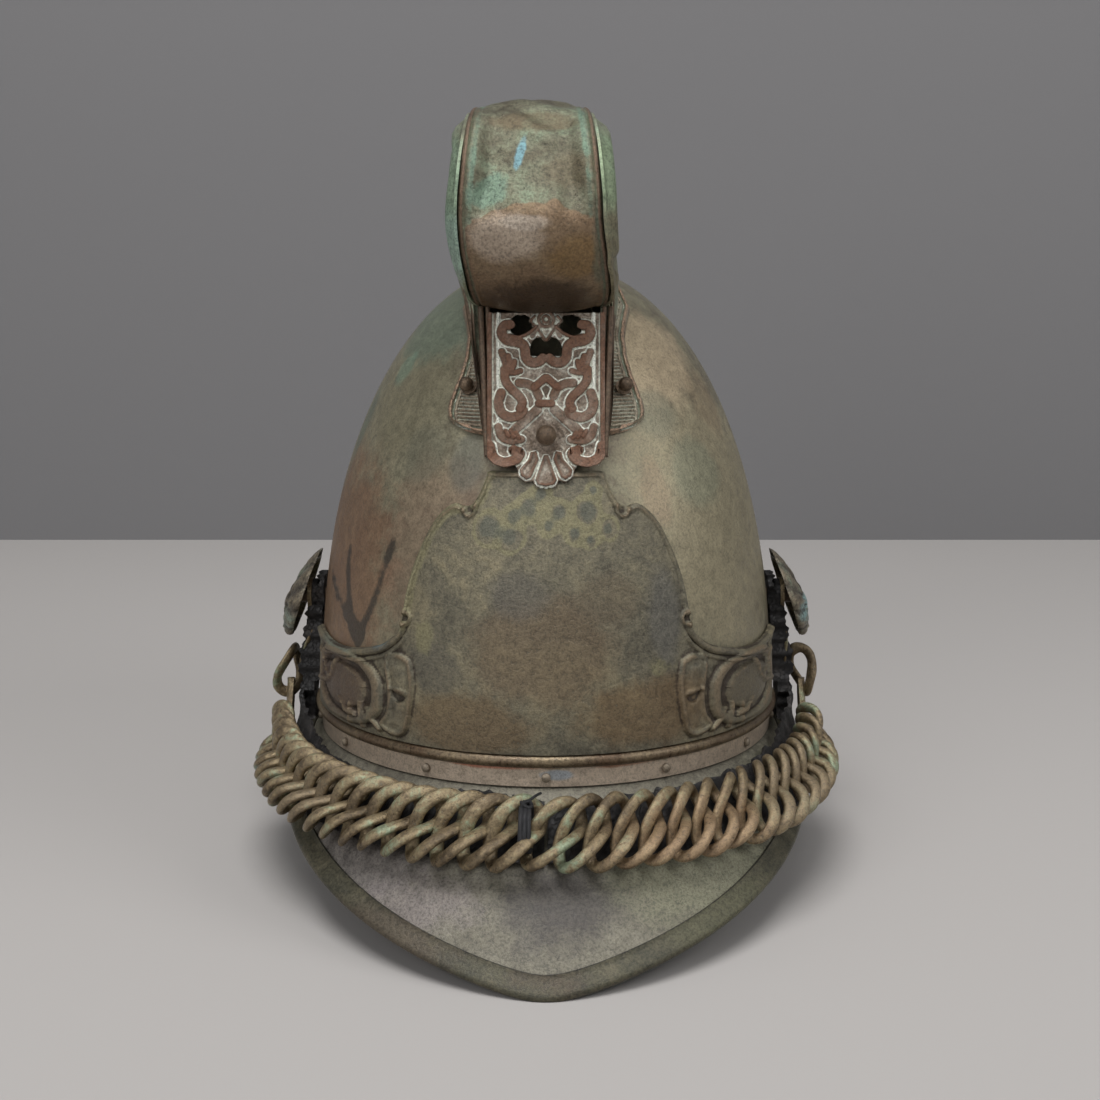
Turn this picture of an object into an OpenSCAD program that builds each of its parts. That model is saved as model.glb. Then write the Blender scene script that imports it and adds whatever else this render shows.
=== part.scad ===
// Brass firefighter helmet: a pressed skull with peaks, a hollow comb with a pierced front,
// an ornamental front plate, a leather liner and a chin chain that swings on two rosettes.
// Every piece is laid out square to the rim and then leant back, so that the helmet stands
// on the tip of its front peak and on the edge of its rear peak.

/* [Skull] */
// Width of the skull over its sheet
skull_w = 180; // [172:1:188]
// Length of the skull over its sheet
skull_l = 214; // [206:1:222]
// Height of the crown above the rim
skull_h = 172; // [166:1:178]
// Fullness of the shoulders, where 2 is a plain ellipsoid
fullness = 2.15; // [2.05:0.05:2.25]
// Thickness of the skull's pressed sheet
sheet = 1; // [0.8:0.1:1.4]
// Depth of the plain band below the bead
skirt_h = 9; // [7:0.5:11]
// Radius of the half-round bead along the rim
bead_r = 2.2; // [1.6:0.1:2.6]
// Radius of the air hole in the crown
vent_r = 10; // [8:0.5:14]
/* [Stance] */
// Height of the rim at mid length when the helmet stands
rim_z = 53; // [50:0.5:56]
// How far the helmet leans back when it stands, in degrees
lean = 4.5; // [3.5:0.25:5.5]
/* [Peaks] */
// How far the front peak reaches past the rim at its tip
front_reach = 51; // [46:1:56]
// Angle from the tip at which the front peak runs out
front_sweep = 87; // [84:1:88]
// How far the rear peak reaches past the rim
rear_reach = 56; // [50:1:60]
// Half angle over which the rear peak's edge lies on the ground
rear_foot = 30; // [24:1:36]
// Height of the peaks' edges at the sides, above the ground
side_edge_z = 42.5; // [41:0.5:44]
// Width of the peaks' edge at the sides
side_ledge = 3; // [2.5:0.25:4]
// Thickness of the peaks' sheet
peak_sheet = 1; // [0.8:0.1:1.3]
// Width of the binding on top of the peaks
binding_w = 7; // [5:0.5:8]
// Thickness of the binding strip
binding_t = 0.8; // [0.6:0.1:1]
/* [Comb] */
// Radius of the roll at the front of the comb
roll_r = 36.5; // [34:0.5:38]
// Distance of the roll's centre behind the front of the skull
roll_back = 33.3; // [30:0.5:36]
// Height of the roll's centre above the crown
roll_up = 18.4; // [16:0.5:21]
// Height of the comb's top over the crown
comb_over_crown = 42.8; // [40:0.5:45]
// Height of the comb's tail above the rim
tail_z = 85; // [80:1:92]
// Height of the comb off the skull at its tail
tail_h = 13; // [11:0.5:16]
// Width of the comb's centre strip under the roll
strip_w = 50; // [46:0.5:54]
// Width of the strip on top of the roll
strip_w_top = 42; // [38:0.5:46]
// Width of the strip at the tail
strip_w_tail = 27; // [24:0.5:30]
// Width of the comb's foot at the grille
foot_w = 41; // [38:0.5:44]
// Width of the comb's foot at the tail
foot_w_tail = 23; // [20:0.5:26]
// How far the side plates swell, as a share of their height
swell = 0.085; // [0.05:0.005:0.11]
// Thickness of the comb's sheet
comb_sheet = 1; // [0.8:0.1:1.2]
// Height of the grille's foot above the rim
grille_foot_z = 106; // [102:0.5:110]
// Thickness of the grille plate
grille_t = 1.4; // [1.2:0.1:2]
// Width of the flanges beside the comb at their widest
flange_w = 11; // [9:0.5:13]
/* [Front plate] */
// Height of the plate's shoulders above the rim
plate_top_z = 88; // [84:0.5:92]
// Width of the shield part of the plate
plate_w = 101; // [94:1:106]
// Half angle to which the plate's wings reach
wing_sweep = 76; // [70:1:80]
// Height of the wings above the rim
wing_z = 31; // [28:0.5:34]
// Thickness of the plate
plate_t = 1; // [0.8:0.1:1.4]
/* [Chin chain] */
// Radius of the wire that the links are bent from
wire_r = 2; // [1.8:0.05:2.05]
// Distance from one link to the next
pitch = 9.3; // [9:0.05:9.6]
// Half width of a link to the middle of its wire
link_half_w = 11.8; // [11:0.1:12.4]
// Twist of a link from its middle to its ends, in degrees
link_twist = 40; // [38:1:44]
// Clear gap between the two halves of the chain
chain_gap = 8; // [6:0.5:10]
// Thickness of the leather behind the chain
backing_t = 1.5; // [1.2:0.1:2]
// Width of the leather behind the chain
backing_w = 27; // [24:0.5:30]
/* [Rosettes] */
// Height of the rosettes above the rim
rosette_z = 39; // [35:0.5:43]
// Radius of a rosette over its petals
rosette_r = 18.5; // [16:0.5:20]
// Number of petals round a rosette
petals = 10; // [8:1:12]
// Radius of the stud that a rosette and the chain's end turn on
stud_r = 3; // [2.5:0.1:3.5]
// Length of the spacer between the skull and the chain's end plate
spacer_l = 5; // [4.5:0.25:6]
// Thickness of the chain's end plates
end_plate_t = 1.6; // [1.2:0.1:2]
/* [Screws] */
// Radius of the ball on a comb screw
ball_r = 3.6; // [3:0.1:4.2]
// Radius of the balls on the side and rear screws
side_ball_r = 2.6; // [2.2:0.1:3.2]
// Radius of a comb screw's shank
screw_r = 1.8; // [1.5:0.1:2]
/* [Liner] */
// Height of the leather headband
headband_h = 32; // [26:1:36]
// Thickness of the headband
headband_t = 2; // [1.5:0.1:2.5]
// Number of leather tongues in the liner
tongues = 8; // [6:1:10]
// Height of the liner's crown above the rim
liner_h = 142; // [132:1:148]
// Thickness of the tongues
tongue_t = 1.4; // [1:0.1:1.8]

/* [Hidden] */
half_w = skull_w / 2;
half_l = skull_l / 2;
seat = 0.35;                      // gap between a curved piece and what it lies on
slip = 0.1;                       // gap between flat faces
stud_play = 0.05;                 // radial clearance of a part that turns on a stud
round_n = 40;                     // sides of the skull and of what goes round it
facet_play = 0.5;                 // what a faceted hollow wall loses to its own chords
big = 400;                        // larger than the helmet

// Surface of the skull
function power_r(share) = pow(max(0, 1 - pow(share, fullness)), 1 / fullness);
function wall(phi, z, off = 0) =
    let (r = power_r(max(0, z) / (skull_h + off)))
    [(half_w + off) * r * sin(phi), -(half_l + off) * r * cos(phi), z];
function rim_normal(phi) =
    let (v = [sin(phi) / half_w, -cos(phi) / half_l])
    v / norm(v);
function rim_at(phi, d, z) =
    let (v = rim_normal(phi))
    [half_w * sin(phi) + d * v[0], -half_l * cos(phi) + d * v[1], z];

// A point beside the skull's centre line, on the surface raised by off.
// psi runs from -90 at the front rim over the crown to 90 at the rear rim.
function ridge_s(psi) = sign(psi) * pow(abs(sin(psi)), 2 / fullness);
function ridge_c(psi) = pow(abs(cos(psi)), 2 / fullness);
function ridge_error(k, u, s, c) =
    pow(u * u + s * s * k * k, fullness / 2) + pow(c * k, fullness) - 1;
function ridge_slope(k, u, s, c) =
    fullness * pow(u * u + s * s * k * k, fullness / 2 - 1) * s * s * k
    + fullness * pow(c, fullness) * pow(k, fullness - 1);
function ridge_k(u, s, c, k = 1, left = 4) =
    left == 0 ? k
    : ridge_k(u, s, c, k - ridge_error(k, u, s, c) / ridge_slope(k, u, s, c), left - 1);
function beside(psi, x, off = 0) =
    let (s = ridge_s(psi), c = ridge_c(psi), u = abs(x) / (half_w + off), k = ridge_k(u, s, c))
    [x, (half_l + off) * s * k, (skull_h + off) * c * k];
function psi_at(z) = acos(pow(z / skull_h, fullness / 2));
function wall_normal(p) =
    let (r = norm([p[0] / half_w, p[1] / half_l]), k = pow(r, fullness - 2))
    unit([
        k * p[0] / (half_w * half_w), k * p[1] / (half_l * half_l),
        pow(p[2] / skull_h, fullness - 1) / skull_h
    ]);
function unit(v) = v / norm(v);
module on_wall(p) {
    n = wall_normal(p);
    translate(p) rotate([0, acos(n[2]), atan2(n[1], n[0])]) children();
}

// Solids from rings of points. A ring is a closed outline whose second half runs back
// beside its first half, which lets the end caps be laddered across it.
function side_faces(m, n, closed) = [
    for (i = [0:(closed ? m - 1 : m - 2)], j = [0:n - 1])
        let (a = i * n + j, b = i * n + (j + 1) % n)
        let (c = ((i + 1) % m) * n + (j + 1) % n, d = ((i + 1) % m) * n + j)
        each j < n / 2 ? [[a, b, c], [a, c, d]] : [[a, b, d], [b, c, d]]
];
function cap_faces(base, n, flip) = [
    for (k = [0:n / 2 - 2])
        let (a = base + k, b = base + k + 1, c = base + n - 2 - k, d = base + n - 1 - k)
        each flip ? [[a, c, b], [a, d, c]] : [[a, b, c], [a, c, d]]
];
module loft(rings, closed = false) {
    m = len(rings);
    n = len(rings[0]);
    caps = closed ? [] : concat(cap_faces(0, n, true), cap_faces((m - 1) * n, n, false));
    polyhedron([for (r = rings) each r], concat(side_faces(m, n, closed), caps));
}
function mirrored(rings) = [
    for (r = rings) [for (j = [len(r) - 1:-1:0]) [-r[j][0], r[j][1], r[j][2]]]
];
function back_from(list) = [for (i = [len(list) - 1:-1:0]) list[i]];

// From the rim's own frame to the standing helmet
module standing() {
    translate([0, head_y, rim_z]) rotate([-lean, 0, 0]) children();
}
module ground_cut() {
    difference() {
        standing() children();
        translate([0, 0, -big / 2]) cube([big, big, big], center = true);
    }
}
function level_z(y, ground_z) = (ground_z - rim_z + sin(lean) * y) / cos(lean);

// Skull: meridian sections set side by side all the way round
crown_n = 12;
function crown_z(i) = skull_h * pow(sin(i * crown_turn / crown_n), 2 / fullness);
crown_turn = acos(pow(vent_r / half_w, fullness / 2));
module skull_sheet() {
    loft([
        for (i = [0:round_n - 1]) let (phi = 360 * i / round_n)
            concat(
                [rim_at(phi, 0, -skirt_h)],
                [for (k = [0:crown_n]) wall(phi, crown_z(k), 0)],
                [for (k = [crown_n:-1:0])
                    let (in_z = crown_z(k) * (skull_h - sheet) / skull_h)
                    wall(phi, in_z, -sheet)],
                [rim_at(phi, -sheet, -skirt_h)]
            )
    ], closed = true);
}
module skull_shell() {
    color([0.47, 0.40, 0.27])
    standing() difference() {
        skull_sheet();
        for (side = [-1, 1]) along_x(side, stud_wall_x - stud_in)
            cylinder(r = stud_r + slip, h = 2 * stud_in);
        for (k = [0:3]) screw_hole(k);
    }
}

// Bead: a half round wire soldered round the rim
module rim_bead() {
    color([0.52, 0.44, 0.30])
    standing() loft([
        for (i = [0:round_n - 1]) let (phi = 360 * i / round_n)
            [
                rim_at(phi, slip, bead_r),
                rim_at(phi, slip, 0),
                rim_at(phi, slip, -bead_r),
                rim_at(phi, bead_r * 0.75, -bead_r * 0.75),
                rim_at(phi, bead_r + slip, 0),
                rim_at(phi, bead_r * 0.75, bead_r * 0.75)
            ]
    ], closed = true);
}

// Peaks: a flange inside the skirt, and a brim that slopes out and down.
// The front one runs to a tip and the rear one rests on the ground over a wide arc.
peak_n = 34;
tip_round = 3;
nose = 2;
root_z = -skirt_h - slip;
binding_gap = 0.25;
flange_d = -sheet - facet_play;
function front_share(phi) =
    1 - (sqrt(phi * phi + tip_round * tip_round) - tip_round) / front_sweep;
function front_ext(phi) = side_ledge + (front_reach - side_ledge) * front_share(phi);
tip_drop = level_z(-half_l - front_reach, nose - 0.5);
function front_edge_z(phi) =
    let (side_z = level_z(0, side_edge_z))
    side_z + (tip_drop - side_z) * front_share(phi);
rear_sweep = 180 - front_sweep - 2;
function rear_share(turn) = max(0, (abs(turn) - rear_foot) / (rear_sweep - rear_foot));
function rear_ext(turn) =
    side_ledge + (rear_reach - side_ledge) * pow(max(0, 1 - pow(abs(turn) / rear_sweep, 2)), 1.25);
function rear_edge_z(turn) =
    let (d = rear_ext(turn), y = rim_at(180 - turn, d, 0)[1])
    level_z(y, nose - 0.5 + (side_edge_z - nose) * pow(rear_share(turn), 1.6));
function peak_ring(phi, ext, edge_z) =
    let (d = flange_d, t = peak_sheet, fall = root_z - edge_z, len = norm([ext, fall]))
    let (nx = fall / len * t, nz = ext / len * t)
    [
        rim_at(phi, d, -skirt_h * 0.3),
        rim_at(phi, d, root_z),
        rim_at(phi, ext * 0.5, root_z - fall * 0.5),
        rim_at(phi, ext, edge_z),
        rim_at(phi, ext - nx, edge_z - nz),
        rim_at(phi, ext * 0.5 - nx, root_z - fall * 0.5 - nz),
        rim_at(phi, d - t, root_z - t),
        rim_at(phi, d - t, -skirt_h * 0.3)
    ];
module front_peak() {
    color([0.42, 0.37, 0.28])
    standing() loft([
        for (i = [0:peak_n]) let (phi = front_sweep * (1 - 2 * i / peak_n))
            peak_ring(phi, front_ext(phi), front_edge_z(phi))
    ]);
}
module rear_peak() {
    color([0.42, 0.37, 0.26])
    standing() loft([
        for (i = [0:peak_n]) let (turn = rear_sweep * (2 * i / peak_n - 1))
            peak_ring(180 - turn, rear_ext(turn), rear_edge_z(turn))
    ]);
}

// Binding: a strip folded over a peak's edge, with a rounded nose
function binding_ring(phi, ext, edge_z) =
    let (fall = root_z - edge_z, len = norm([ext, fall]), cx = ext / len, cz = -fall / len)
    let (t = binding_t, g = binding_gap, p = peak_sheet)
    let (w = min(binding_w, 0.6 * len))
    [
        for (q = [
            [-w, g], [-w, g + t], [0, g + t], [nose, -p / 2], [0, -p - g - t], [-w / 2, -p - g - t],
            [-w / 2, -p - g], [g, -p - g], [g, g], [g / 2, g]
        ])
            rim_at(phi, ext + q[0] * cx - q[1] * cz, edge_z + q[0] * cz + q[1] * cx)
    ];
function stood_y(p) = cos(lean) * p[1] + sin(lean) * p[2];
front_nose_y = min([for (p = binding_ring(0, front_ext(0), front_edge_z(0))) stood_y(p)]);
rear_nose_y = max([for (p = binding_ring(180, rear_ext(0), rear_edge_z(0))) stood_y(p)]);
head_y = -(front_nose_y + rear_nose_y) / 2;
module front_peak_binding() {
    color([0.50, 0.43, 0.29])
    ground_cut() loft([
        for (i = [0:peak_n]) let (phi = front_sweep * (1 - 2 * i / peak_n))
            binding_ring(phi, front_ext(phi), front_edge_z(phi))
    ]);
}
module rear_peak_binding() {
    color([0.50, 0.43, 0.29])
    ground_cut() loft([
        for (i = [0:peak_n]) let (turn = rear_sweep * (2 * i / peak_n - 1))
            binding_ring(180 - turn, rear_ext(turn), rear_edge_z(turn))
    ]);
}

// Rivets that hold the peaks' flanges inside the skirt
rivet_r = 1.6;
rivet_z = -5.6;
rivet_turns = [0, 28, 56, 80, 104, 130, 155, 180, 205, 230, 256, 280, 304, 332];
module peak_rivets() {
    color([0.55, 0.47, 0.32])
    standing() for (phi = rivet_turns)
        let (v = rim_normal(phi), p = rim_at(phi, 0, rivet_z))
        translate(p) rotate([0, 0, atan2(v[1], v[0])]) rotate([0, 90, 0])
            translate([0, 0, slip]) intersection() {
                cylinder(r = rivet_r, h = rivet_r);
                translate([0, 0, -rivet_r * 0.5]) sphere(r = rivet_r * 1.5);
            }
}

// Comb: the path of its crest runs from the grille round the roll, over the crown and
// down to the tail. It is made of three arcs that meet in common tangents.
roll_y = -half_l + roll_back;
roll_z = skull_h + roll_up;
roll_open = 9;
roll_n = 10;
arch_n = 5;
tail_n = 7;
arch_r = (pow(roll_y, 2) + pow(roll_z + roll_r - skull_h - comb_over_crown, 2))
    / (2 * (roll_z + roll_r - skull_h - comb_over_crown));
arch_turn = asin((half_l * 0.22 - roll_y) / arch_r);
arch_end = [roll_y + arch_r * sin(arch_turn), roll_z + roll_r - arch_r * (1 - cos(arch_turn))];
tail_end = [half_l * power_r(tail_z / skull_h) + tail_h, tail_z];
tail_r = pow(norm(tail_end - arch_end), 2)
    / (2 * (tail_end - arch_end) * [-sin(arch_turn), -cos(arch_turn)]);
tail_turn = 2 * asin(norm(tail_end - arch_end) / (2 * tail_r));
stations = roll_n + arch_n + tail_n;
function crest_turn(i) =
    i <= roll_n ? -(180 - roll_open) * (1 - i / roll_n)
    : i <= roll_n + arch_n ? arch_turn * (i - roll_n) / arch_n
    : arch_turn + tail_turn * (i - roll_n - arch_n) / tail_n;
function crest_centre(i) =
    i <= roll_n ? [roll_y, roll_z]
    : i <= roll_n + arch_n ? [roll_y, roll_z + roll_r - arch_r]
    : arch_end - tail_r * [sin(arch_turn), cos(arch_turn)];
function crest_radius(i) = i <= roll_n ? roll_r : i <= roll_n + arch_n ? arch_r : tail_r;
function crest(i, up = 0) =
    crest_centre(i) + (crest_radius(i) + up) * [sin(crest_turn(i)), cos(crest_turn(i))];
function crest_w(i) =
    i <= roll_n ? strip_w + (strip_w_top - strip_w) * pow(max(0, i / roll_n - 0.5) * 2, 2)
    : strip_w_top + (strip_w_tail - strip_w_top) * (i - roll_n) / (arch_n + tail_n);
lip_h = 1.5;
lip_w = 2.2;
module comb_crest() {
    color([0.44, 0.47, 0.34])
    standing() loft([
        for (i = [stations:-1:0])
            let (h = crest_w(i) / 2)
            [
                for (q = [
                    [-h, -comb_sheet], [-h, lip_h], [-h + lip_w, lip_h], [-h + lip_w * 1.4, 0],
                    [h - lip_w * 1.4, 0], [h - lip_w, lip_h], [h, lip_h], [h, -comb_sheet],
                    [h - lip_w, -comb_sheet], [h * 0.3, -comb_sheet * 0.9],
                    [-h * 0.3, -comb_sheet * 0.9], [-h + lip_w, -comb_sheet]
                ])
                    let (p = crest(i, q[1]))
                    [q[0], p[0], p[1]]
            ]
    ]);
}

// Comb sides: swelling plates between the crest, the grille's edge and the skull
plate_stack = seat + plate_t + seat;
grille_top = crest(0);
grille_foot = [
    -half_l * power_r(grille_foot_z / skull_h) - plate_stack,
    grille_foot_z
];
foot_front = -psi_at(grille_foot_z);
tail_drop = 1.7;
foot_rear = psi_at(tail_z - tail_drop);
foot_play = facet_play + 3 * slip;
function foot_share(i) = max(0, (i - roll_n - 1) / (arch_n + tail_n - 1));
function foot_psi(i) = foot_front + (foot_rear - foot_front) * pow(foot_share(i), 0.9);
function foot_x(psi) =
    let (f = min(1, max(0, (psi - foot_front) / (foot_rear - foot_front))))
    (foot_w + (foot_w_tail - foot_w) * f) / 2;
// Behind the roll the feet fan out from one spot just inside the end of the strip
fan_start = 182 - roll_open;
fan_step = 0.2;
function fan_foot(i, x) =
    let (a = -fan_start - fan_step * i, r = roll_r - comb_sheet - seat)
    [x, roll_y + r * sin(a), roll_z + r * cos(a)];
function foot(i, x) = i <= roll_n ? fan_foot(i, x) : beside(foot_psi(i), x, foot_play);
side_n = 5;
function side_point(i, k, out) =
    let (v = k / side_n, top = crest(i, -comb_sheet - slip), half = foot_x(foot_psi(i)))
    let (low = foot(i, half))
    let (rise = swell * norm([low[1], low[2]] - top) * 4 * v * (1 - v))
    let (x = (crest_w(i) / 2 - comb_sheet) * (1 - v) + (half + slip) * v + rise + out)
    [x, top[0] + (low[1] - top[0]) * v, top[1] + (low[2] - top[1]) * v];
function side_rings() = [
    for (i = [stations:-1:1])
        concat(
            [for (k = [0:side_n]) side_point(i, k, comb_sheet)],
            [for (k = [side_n:-1:0]) side_point(i, k, 0)]
        )
];
module comb_side_left() {
    color([0.36, 0.44, 0.34]) standing() loft(mirrored(side_rings()));
}
module comb_side_right() {
    color([0.40, 0.44, 0.32]) standing() loft(side_rings());
}

// Flanges: ribbed borders that lie on the skull along the comb's feet
flange_n = 20;
flange_h = 1.8;
flange_border = 1.6;
flange_ease = 2.6;
flange_past = 5;
function flange_psi(i) =
    let (a = -psi_at(grille_foot_z - flange_past), b = psi_at(tail_z + flange_past))
    a + (b - a) * i / flange_n;
function flange_in(i) =
    foot_x(flange_psi(i)) + comb_sheet + flange_h * 4 * swell + seat
    + flange_ease * pow(max(0, 1 - 3 * i / flange_n), 2);
function flange_out(i) =
    let (f = i / flange_n)
    flange_in(i) + flange_w * (0.45 + 0.55 * exp(-pow((f - 0.1) / 0.1, 2)));
function flange_rings() = [
    for (i = [flange_n:-1:0])
        let (a = flange_in(i), b = flange_out(i), psi = flange_psi(i), low = foot_play)
        [
            beside(psi, a, low), beside(psi, (a + b) / 2, low), beside(psi, b, low),
            beside(psi, b, low + flange_h), beside(psi, b - flange_border, low + flange_h),
            beside(psi, a, low + flange_h / 2)
        ]
];
module comb_flange_left() {
    color([0.40, 0.46, 0.36])
    standing() difference() {
        loft([for (r = flange_rings()) [for (p = r) [-p[0], p[1], p[2]]]]);
        screw_hole(1);
    }
}
module comb_flange_right() {
    color([0.42, 0.45, 0.33])
    standing() difference() {
        loft([for (r = flange_rings()) back_from(r)]);
        screw_hole(2);
    }
}

// Grille: a flat plate pierced for air between raised scrolls, with a palmette at its foot
grille_lean = atan2(grille_top[0] - grille_foot[0], grille_top[1] - grille_foot[1]);
grille_h = norm(grille_top - grille_foot) - 2 * seat;
rail_w = 3;
scroll_w = 2.6;
scroll_t = 1.2;
eye_r = 3.2;
eye_end_r = 3.8;
air_hole_r = 1.7;
air_slot_h = 2.4;
module ring_2d(r, w) {
    difference() {
        circle(r = r);
        circle(r = r - w);
    }
}
module half_ring_2d(r, w, turn) {
    rotate(turn) intersection() {
        ring_2d(r, w);
        translate([0, r]) square([2 * r, 2 * r], center = true);
    }
}
// One S-shaped scroll stem, made of two half rings that end in small eyes
module s_scroll_2d(r) {
    translate([0, r - scroll_w / 2]) half_ring_2d(r, scroll_w, -90);
    translate([0, -r + scroll_w / 2]) half_ring_2d(r, scroll_w, 90);
    translate([-r * 0.35, 2 * r - 2 * scroll_w]) circle(r = scroll_w * 0.85);
    translate([r * 0.35, -2 * r + 2 * scroll_w]) circle(r = scroll_w * 0.85);
}
module grille_openings_2d() {
    for (side = [-1, 1]) {
        translate([side * foot_w * 0.17, grille_h * 0.87]) hull() {
            circle(r = eye_r);
            translate([side * foot_w * 0.11, 0]) circle(r = eye_end_r);
        }
        for (row = [0.14, 0.36, 0.56])
            translate([side * foot_w * 0.36, grille_h * row]) circle(r = air_hole_r);
    }
    translate([0, grille_h * 0.7]) {
        intersection() {
            circle(r = foot_w * 0.17);
            translate([0, foot_w * 0.13]) square(foot_w * 0.36, center = true);
        }
        translate([0, -foot_w * 0.03]) square([foot_w * 0.3, air_slot_h], center = true);
    }
}
module comb_front_grille() {
    color([0.52, 0.31, 0.20])
    standing() difference() {
        on_grille(0) {
            linear_extrude(grille_t) difference() {
                translate([-foot_w / 2, 0]) square([foot_w, grille_h]);
                grille_openings_2d();
            }
            linear_extrude(grille_t + scroll_t) for (side = [-1, 1]) {
                translate([side * (foot_w / 2 - rail_w / 2) - rail_w / 2, 0])
                    square([rail_w, grille_h * 0.8]);
                translate([side * foot_w * 0.2, grille_h * 0.27])
                    mirror([side < 0 ? 1 : 0, 0]) s_scroll_2d(foot_w * 0.13);
                translate([side * foot_w * 0.19, grille_h * 0.56])
                    ring_2d(foot_w * 0.12, scroll_w);
            }
            palmette();
        }
        screw_hole(0);
    }
}
module on_grille(rise) {
    translate([0, grille_foot[0], grille_foot[1]]) rotate([90 - grille_lean, 0, 0])
        translate([0, rise + seat, 0]) children();
}
screw_rise = 4.9;
palmette_r = 6.4;
loop_r = 4.2;
palmette_turn = atan2(
    wall(0, grille_foot_z)[1] - wall(0, grille_foot_z - 2 * palmette_r)[1], 2 * palmette_r
) - grille_lean;
module palmette() {
    rotate([-palmette_turn, 0, 0]) linear_extrude(grille_t + scroll_t) {
        translate([0, -palmette_r * 0.6]) circle(r = palmette_r * 0.8);
        for (side = [-1, 1]) {
            translate([side * palmette_r * 1.2, 0]) circle(r = palmette_r * 0.75);
            translate([side * (foot_w / 2 - loop_r * 0.8), 0]) ring_2d(loop_r, scroll_w);
        }
    }
}

// Screws with ball heads: front, left, right and rear
side_screw_up = 25;
side_screw_psi = -psi_at(grille_foot_z + side_screw_up);
side_screw_x = foot_w / 2 + flange_w * 0.5;
rear_screw_drop = 12;
rear_screw_psi = psi_at(tail_z - rear_screw_drop);
hole_reach = 7;
module screw_hole(k) {
    at_screw(k) cylinder(r = screw_r + slip, h = 2 * hole_reach, center = true);
}
module at_screw(k) {
    if (k == 0) on_grille(screw_rise) children();
    if (k == 1) on_wall(beside(side_screw_psi, -side_screw_x)) children();
    if (k == 2) on_wall(beside(side_screw_psi, side_screw_x)) children();
    if (k == 3) on_wall(beside(rear_screw_psi, 0)) children();
}
function screw_seat(k) =
    k == 0 ? grille_t + seat
    : k == 3 ? tail_tab_t + foot_play + seat
    : flange_h + foot_play + seat;
tail_tab_t = 1.2;
comb_nut_t = 2.4;
front_screw_in = 1.4;
screw_end = 0.4;
function screw_in(k) =
    sheet + 3 * facet_play + comb_nut_t + (k == 0 ? plate_stack + front_screw_in : 0);
function screw_ball(k) = k == 0 ? ball_r : side_ball_r;
module ball_screw(k) {
    color([0.50, 0.40, 0.26])
    standing() at_screw(k) {
        translate([0, 0, -screw_in(k) - screw_end])
            cylinder(r = screw_r, h = screw_in(k) + screw_end + screw_seat(k) + screw_ball(k));
        translate([0, 0, screw_seat(k)]) cylinder(r = ball_r * 0.8, h = 1);
        translate([0, 0, screw_seat(k) + screw_ball(k) * 1.1]) sphere(r = screw_ball(k));
    }
}
module comb_screw_front() ball_screw(0);
module comb_screw_left() ball_screw(1);
module comb_screw_right() ball_screw(2);
module comb_screw_rear() ball_screw(3);
module comb_nuts() {
    color([0.50, 0.42, 0.28])
    standing() for (k = [0:3]) at_screw(k)
        translate([0, 0, -screw_in(k)]) difference() {
            cylinder(r = screw_r * 2, h = comb_nut_t, $fn = 6);
            translate([0, 0, -1]) cylinder(r = screw_r + stud_play, h = comb_nut_t + 2);
        }
}

// Tail: a small leaf-shaped tab that closes the comb's end on the skull
module comb_tail() {
    color([0.42, 0.42, 0.28])
    standing() difference() {
        on_wall(beside(rear_screw_psi, 0)) translate([0, 0, foot_play])
            linear_extrude(tail_tab_t) hull() {
                circle(r = foot_w_tail * 0.24);
                translate([-foot_w_tail * 0.5, 0]) circle(r = foot_w_tail * 0.4);
            }
        screw_hole(3);
    }
}

// Front plate: a shield with wings, lying on the front of the skull.
// Each column of points runs from the bead up to the plate's own outline.
plate_n = 17;
plate_rows = 7;
plate_foot_z = bead_r + seat;
shield_turn = asin(plate_w / 2 / half_w);
shield_n = 10;
shield_turns = [0, 0.25, 0.43, 0.475, 0.55, 0.63, 0.71, 0.82, 0.92, 0.975, 1];
plate_tops = [
    1.2, 1.2, 1.2, 1.08, 0.98, 1, 1, 0.88, 0.68, 0.5, 0.33, 0.15, 0.09, 0.045, 0, 0, 0.005, 0.035
];
function plate_turn(i) =
    i <= shield_n ? shield_turn * shield_turns[i]
    : shield_turn + (wing_sweep - shield_turn) * pow((i - shield_n) / (plate_n - shield_n), 1.4);
function plate_top(i) = wing_z + (plate_top_z - wing_z) * plate_tops[i];
function plate_column(side, i, off) = [
    for (k = [0:plate_rows])
        let (z = plate_foot_z + (plate_top(i) - plate_foot_z) * k / plate_rows)
        wall(side * plate_turn(i), z, off)
];
module front_plate() {
    columns = [for (i = [plate_n:-1:-plate_n]) [i < 0 ? -1 : 1, abs(i)]];
    color([0.40, 0.40, 0.29])
    standing() loft([
        for (c = columns)
            concat(
                plate_column(c[0], c[1], seat),
                back_from(plate_column(c[0], c[1], seat + plate_t))
            )
    ]);
}

// Chin chain. Its path follows the front peak at a steady height over the slope, and its
// links are twisted ovals: each one dives through the next and comes up beyond it.
slope_hold = 76;
function peak_slope(phi) =
    let (p = min(abs(phi), slope_hold)) atan2(root_z - front_edge_z(p), front_ext(p));
link_half_t = link_half_w * sin(45) * sin(link_twist * cos(45)) + wire_r + seat;
lift = binding_gap + binding_t + seat + backing_t + seat + link_half_t;
lie_front = 22;
lie_side = 16;
lie_bend = 3;
drape_turn = 62;
drape_slope = 82;
end_turn = 92;
function lie_d(phi) = lie_front + (lie_side - lie_front) * pow(min(1, abs(phi) / end_turn), lie_bend);
function lie_point(phi) =
    let (d = lie_d(phi), g = peak_slope(phi))
    rim_at(phi, d, root_z - d * tan(g) + lift / cos(g));
function lie_slope(phi) =
    let (f = max(0, (abs(phi) - drape_turn) / (end_turn - drape_turn)))
    let (g = peak_slope(phi))
    g + (drape_slope - g) * f * f * (3 - 2 * f);
path_step = 2;
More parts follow.
